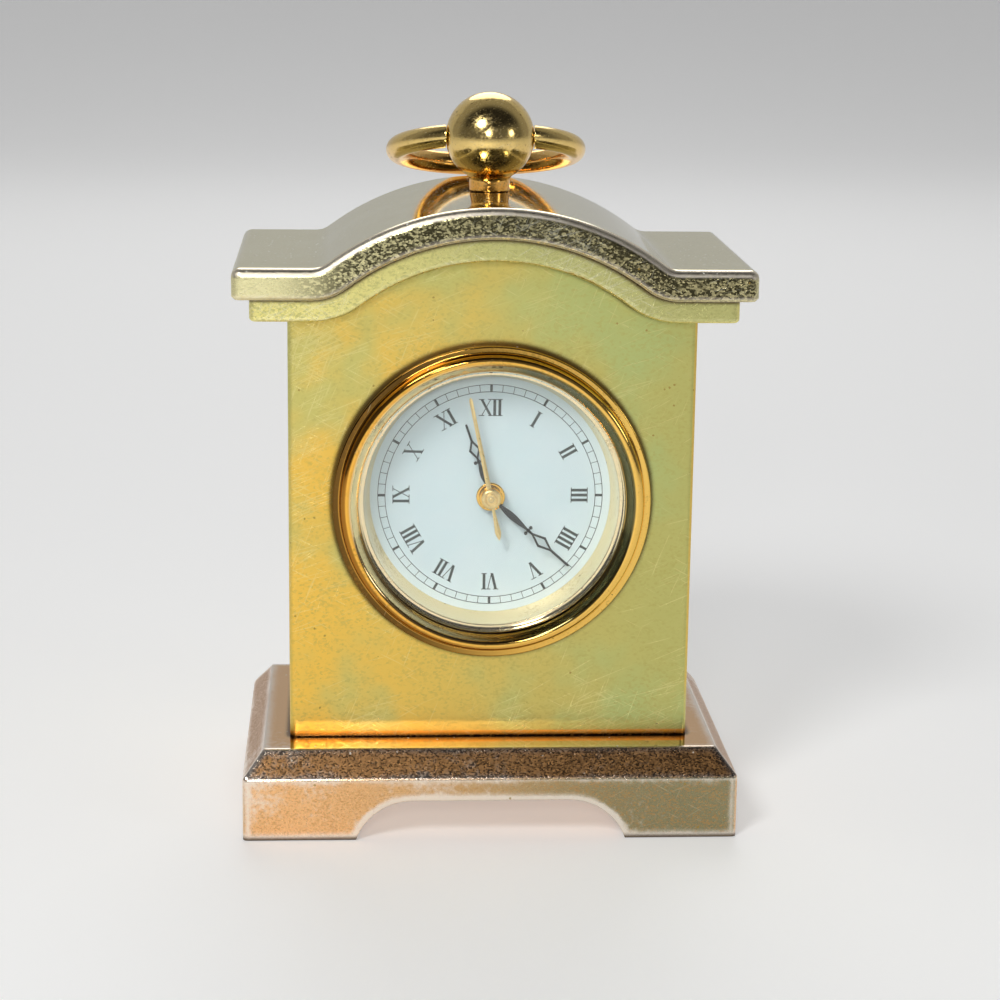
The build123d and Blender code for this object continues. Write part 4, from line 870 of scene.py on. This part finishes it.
cameraView = {  # mm and degrees, fitted to the case, the ring and the dial
    "place": (-11.82, -215.48, 77.46), "yaw": 3.485, "pitch": 13.31, "roll": 0.754,
    "lens": 89.6, "sensor": 36, "near": 5.0,
}
studio = {
    "floorColour": (0.74, 0.74, 0.73, 1), "floorGlow": 0.34, "floorRoughness": 0.6,
    "floorHalf": 1.6, "backAt": 0.55, "sweepRadius": 0.35, "sweepSteps": 12, "backHeight": 1.3,  # metres
    "floorDrop": 0.05,  # mm below the feet
    "frontSky": (0.025, 0.025, 0.03, 1), "lowSky": (0.16, 0.16, 0.165, 1), "backSky": (0.36, 0.36, 0.37, 1),
    "seenSky": (0.60, 0.60, 0.60, 1), "lowEnds": (0.3, 0.6), "backBegins": (-0.2, 0.2), "skyStrength": 0.7,
    "lamps": [  # name, place, aim, width in metres, watts
        ("softLeft", (-0.20, -0.34, 0.36), (0, -0.03, 0.02), 0.14, 1.05),
        ("softRight", (0.34, -0.24, 0.14), (0, 0, 0.03), 0.10, 0.1),
        ("softBack", (0.02, 0.42, 0.40), (0, 0, 0.03), 0.40, 0.8),
        ("lensLamp", (-0.035, -0.28, 0.125), (0, 0, 0.035), 0.04, 0.13),
    ],
}


def makeCamera(pose):
    yaw, pitch, roll = (math.radians(pose[key]) for key in ("yaw", "pitch", "roll"))
    forward = Vector((math.sin(yaw) * math.cos(pitch), math.cos(yaw) * math.cos(pitch), -math.sin(pitch)))
    level = Vector((math.cos(yaw), -math.sin(yaw), 0))
    over = level.cross(forward)
    right = level * math.cos(roll) + over * math.sin(roll)
    up = over * math.cos(roll) - level * math.sin(roll)
    camera = bpy.data.objects.new("photoCamera", bpy.data.cameras.new("photoCamera"))
    bpy.context.scene.collection.objects.link(camera)
    turn = Matrix((right, up, -forward)).transposed().to_4x4()
    camera.matrix_world = Matrix.Translation(Vector(pose["place"]) * mm) @ turn
    camera.data.lens = pose["lens"]
    camera.data.sensor_width = pose["sensor"]
    camera.data.clip_start = pose["near"] * mm
    bpy.context.scene.camera = camera


def makeFloor(room):
    mesh = bmesh.new()
    line = [(-room["floorHalf"], 0.0), (room["backAt"], 0.0)]
    drop = room["floorDrop"] * mm
    for step in range(1, room["sweepSteps"] + 1):
        a = math.radians(90 * step / room["sweepSteps"])
        line.append((room["backAt"] + room["sweepRadius"] * math.sin(a),
                     room["sweepRadius"] * (1 - math.cos(a))))
    line.append((room["backAt"] + room["sweepRadius"], room["backHeight"]))
    rows = [[mesh.verts.new((x, y, z - drop)) for y, z in line]
            for x in (-room["floorHalf"], room["floorHalf"])]
    for index in range(len(line) - 1):
        mesh.faces.new((rows[0][index], rows[1][index], rows[1][index + 1], rows[0][index + 1]))
    data = bpy.data.meshes.new("studioFloor")
    mesh.to_mesh(data)
    mesh.free()
    data.shade_smooth()
    material = bpy.data.materials.new("studioPaper")
    material.use_nodes = True
    tree = material.node_tree
    shader = tree.nodes["Principled BSDF"]
    shader.inputs["Base Color"].default_value = room["floorColour"]
    shader.inputs["Roughness"].default_value = room["floorRoughness"]
    rays = addNode(tree, "ShaderNodeLightPath").outputs  # paler to the eye and in metal, not as a lamp
    seen = plus(tree, plus(tree, rays["Is Camera Ray"], rays["Is Glossy Ray"]), rays["Is Transmission Ray"])
    shader.inputs["Emission Color"].default_value = (1, 1, 1, 1)
    glow = times(tree, maths(tree, "MINIMUM", seen, 1.0), room["floorGlow"])
    tree.links.new(glow, shader.inputs["Emission Strength"])
    data.materials.append(material)
    floor = bpy.data.objects.new("studioFloor", data)
    bpy.context.scene.collection.objects.link(floor)


def makeSky(room):
    world = bpy.data.worlds.new("studioSky")
    world.use_nodes = True
    tree = world.node_tree
    direction = addNode(tree, "ShaderNodeTexCoord").outputs["Generated"]
    towards = addNode(tree, "ShaderNodeSeparateXYZ", {0: direction}).outputs
    colour = blendColour(tree, ease(tree, towards["Z"], *room["lowEnds"]), room["lowSky"], room["frontSky"])
    colour = blendColour(tree, ease(tree, towards["Y"], *room["backBegins"]), colour, room["backSky"])
    seen = addNode(tree, "ShaderNodeLightPath").outputs["Is Camera Ray"]
    colour = blendColour(tree, seen, colour, room["seenSky"])
    tree.links.new(colour, tree.nodes["Background"].inputs["Color"])
    tree.nodes["Background"].inputs["Strength"].default_value = room["skyStrength"]
    bpy.context.scene.world = world


def makeLamps(room):
    for name, place, aim, width, watts in room["lamps"]:
        data = bpy.data.lights.new(name, "AREA")
        data.shape, data.size, data.energy = "DISK", width, watts
        lamp = bpy.data.objects.new(name, data)
        bpy.context.scene.collection.objects.link(lamp)
        lamp.location = place
        lamp.rotation_euler = (Vector(aim) - Vector(place)).to_track_quat("-Z", "Y").to_euler()


makeCamera(cameraView)
makeFloor(studio)
makeSky(studio)
makeLamps(studio)
bpy.context.scene.view_settings.view_transform = "Standard"
print("studio set")
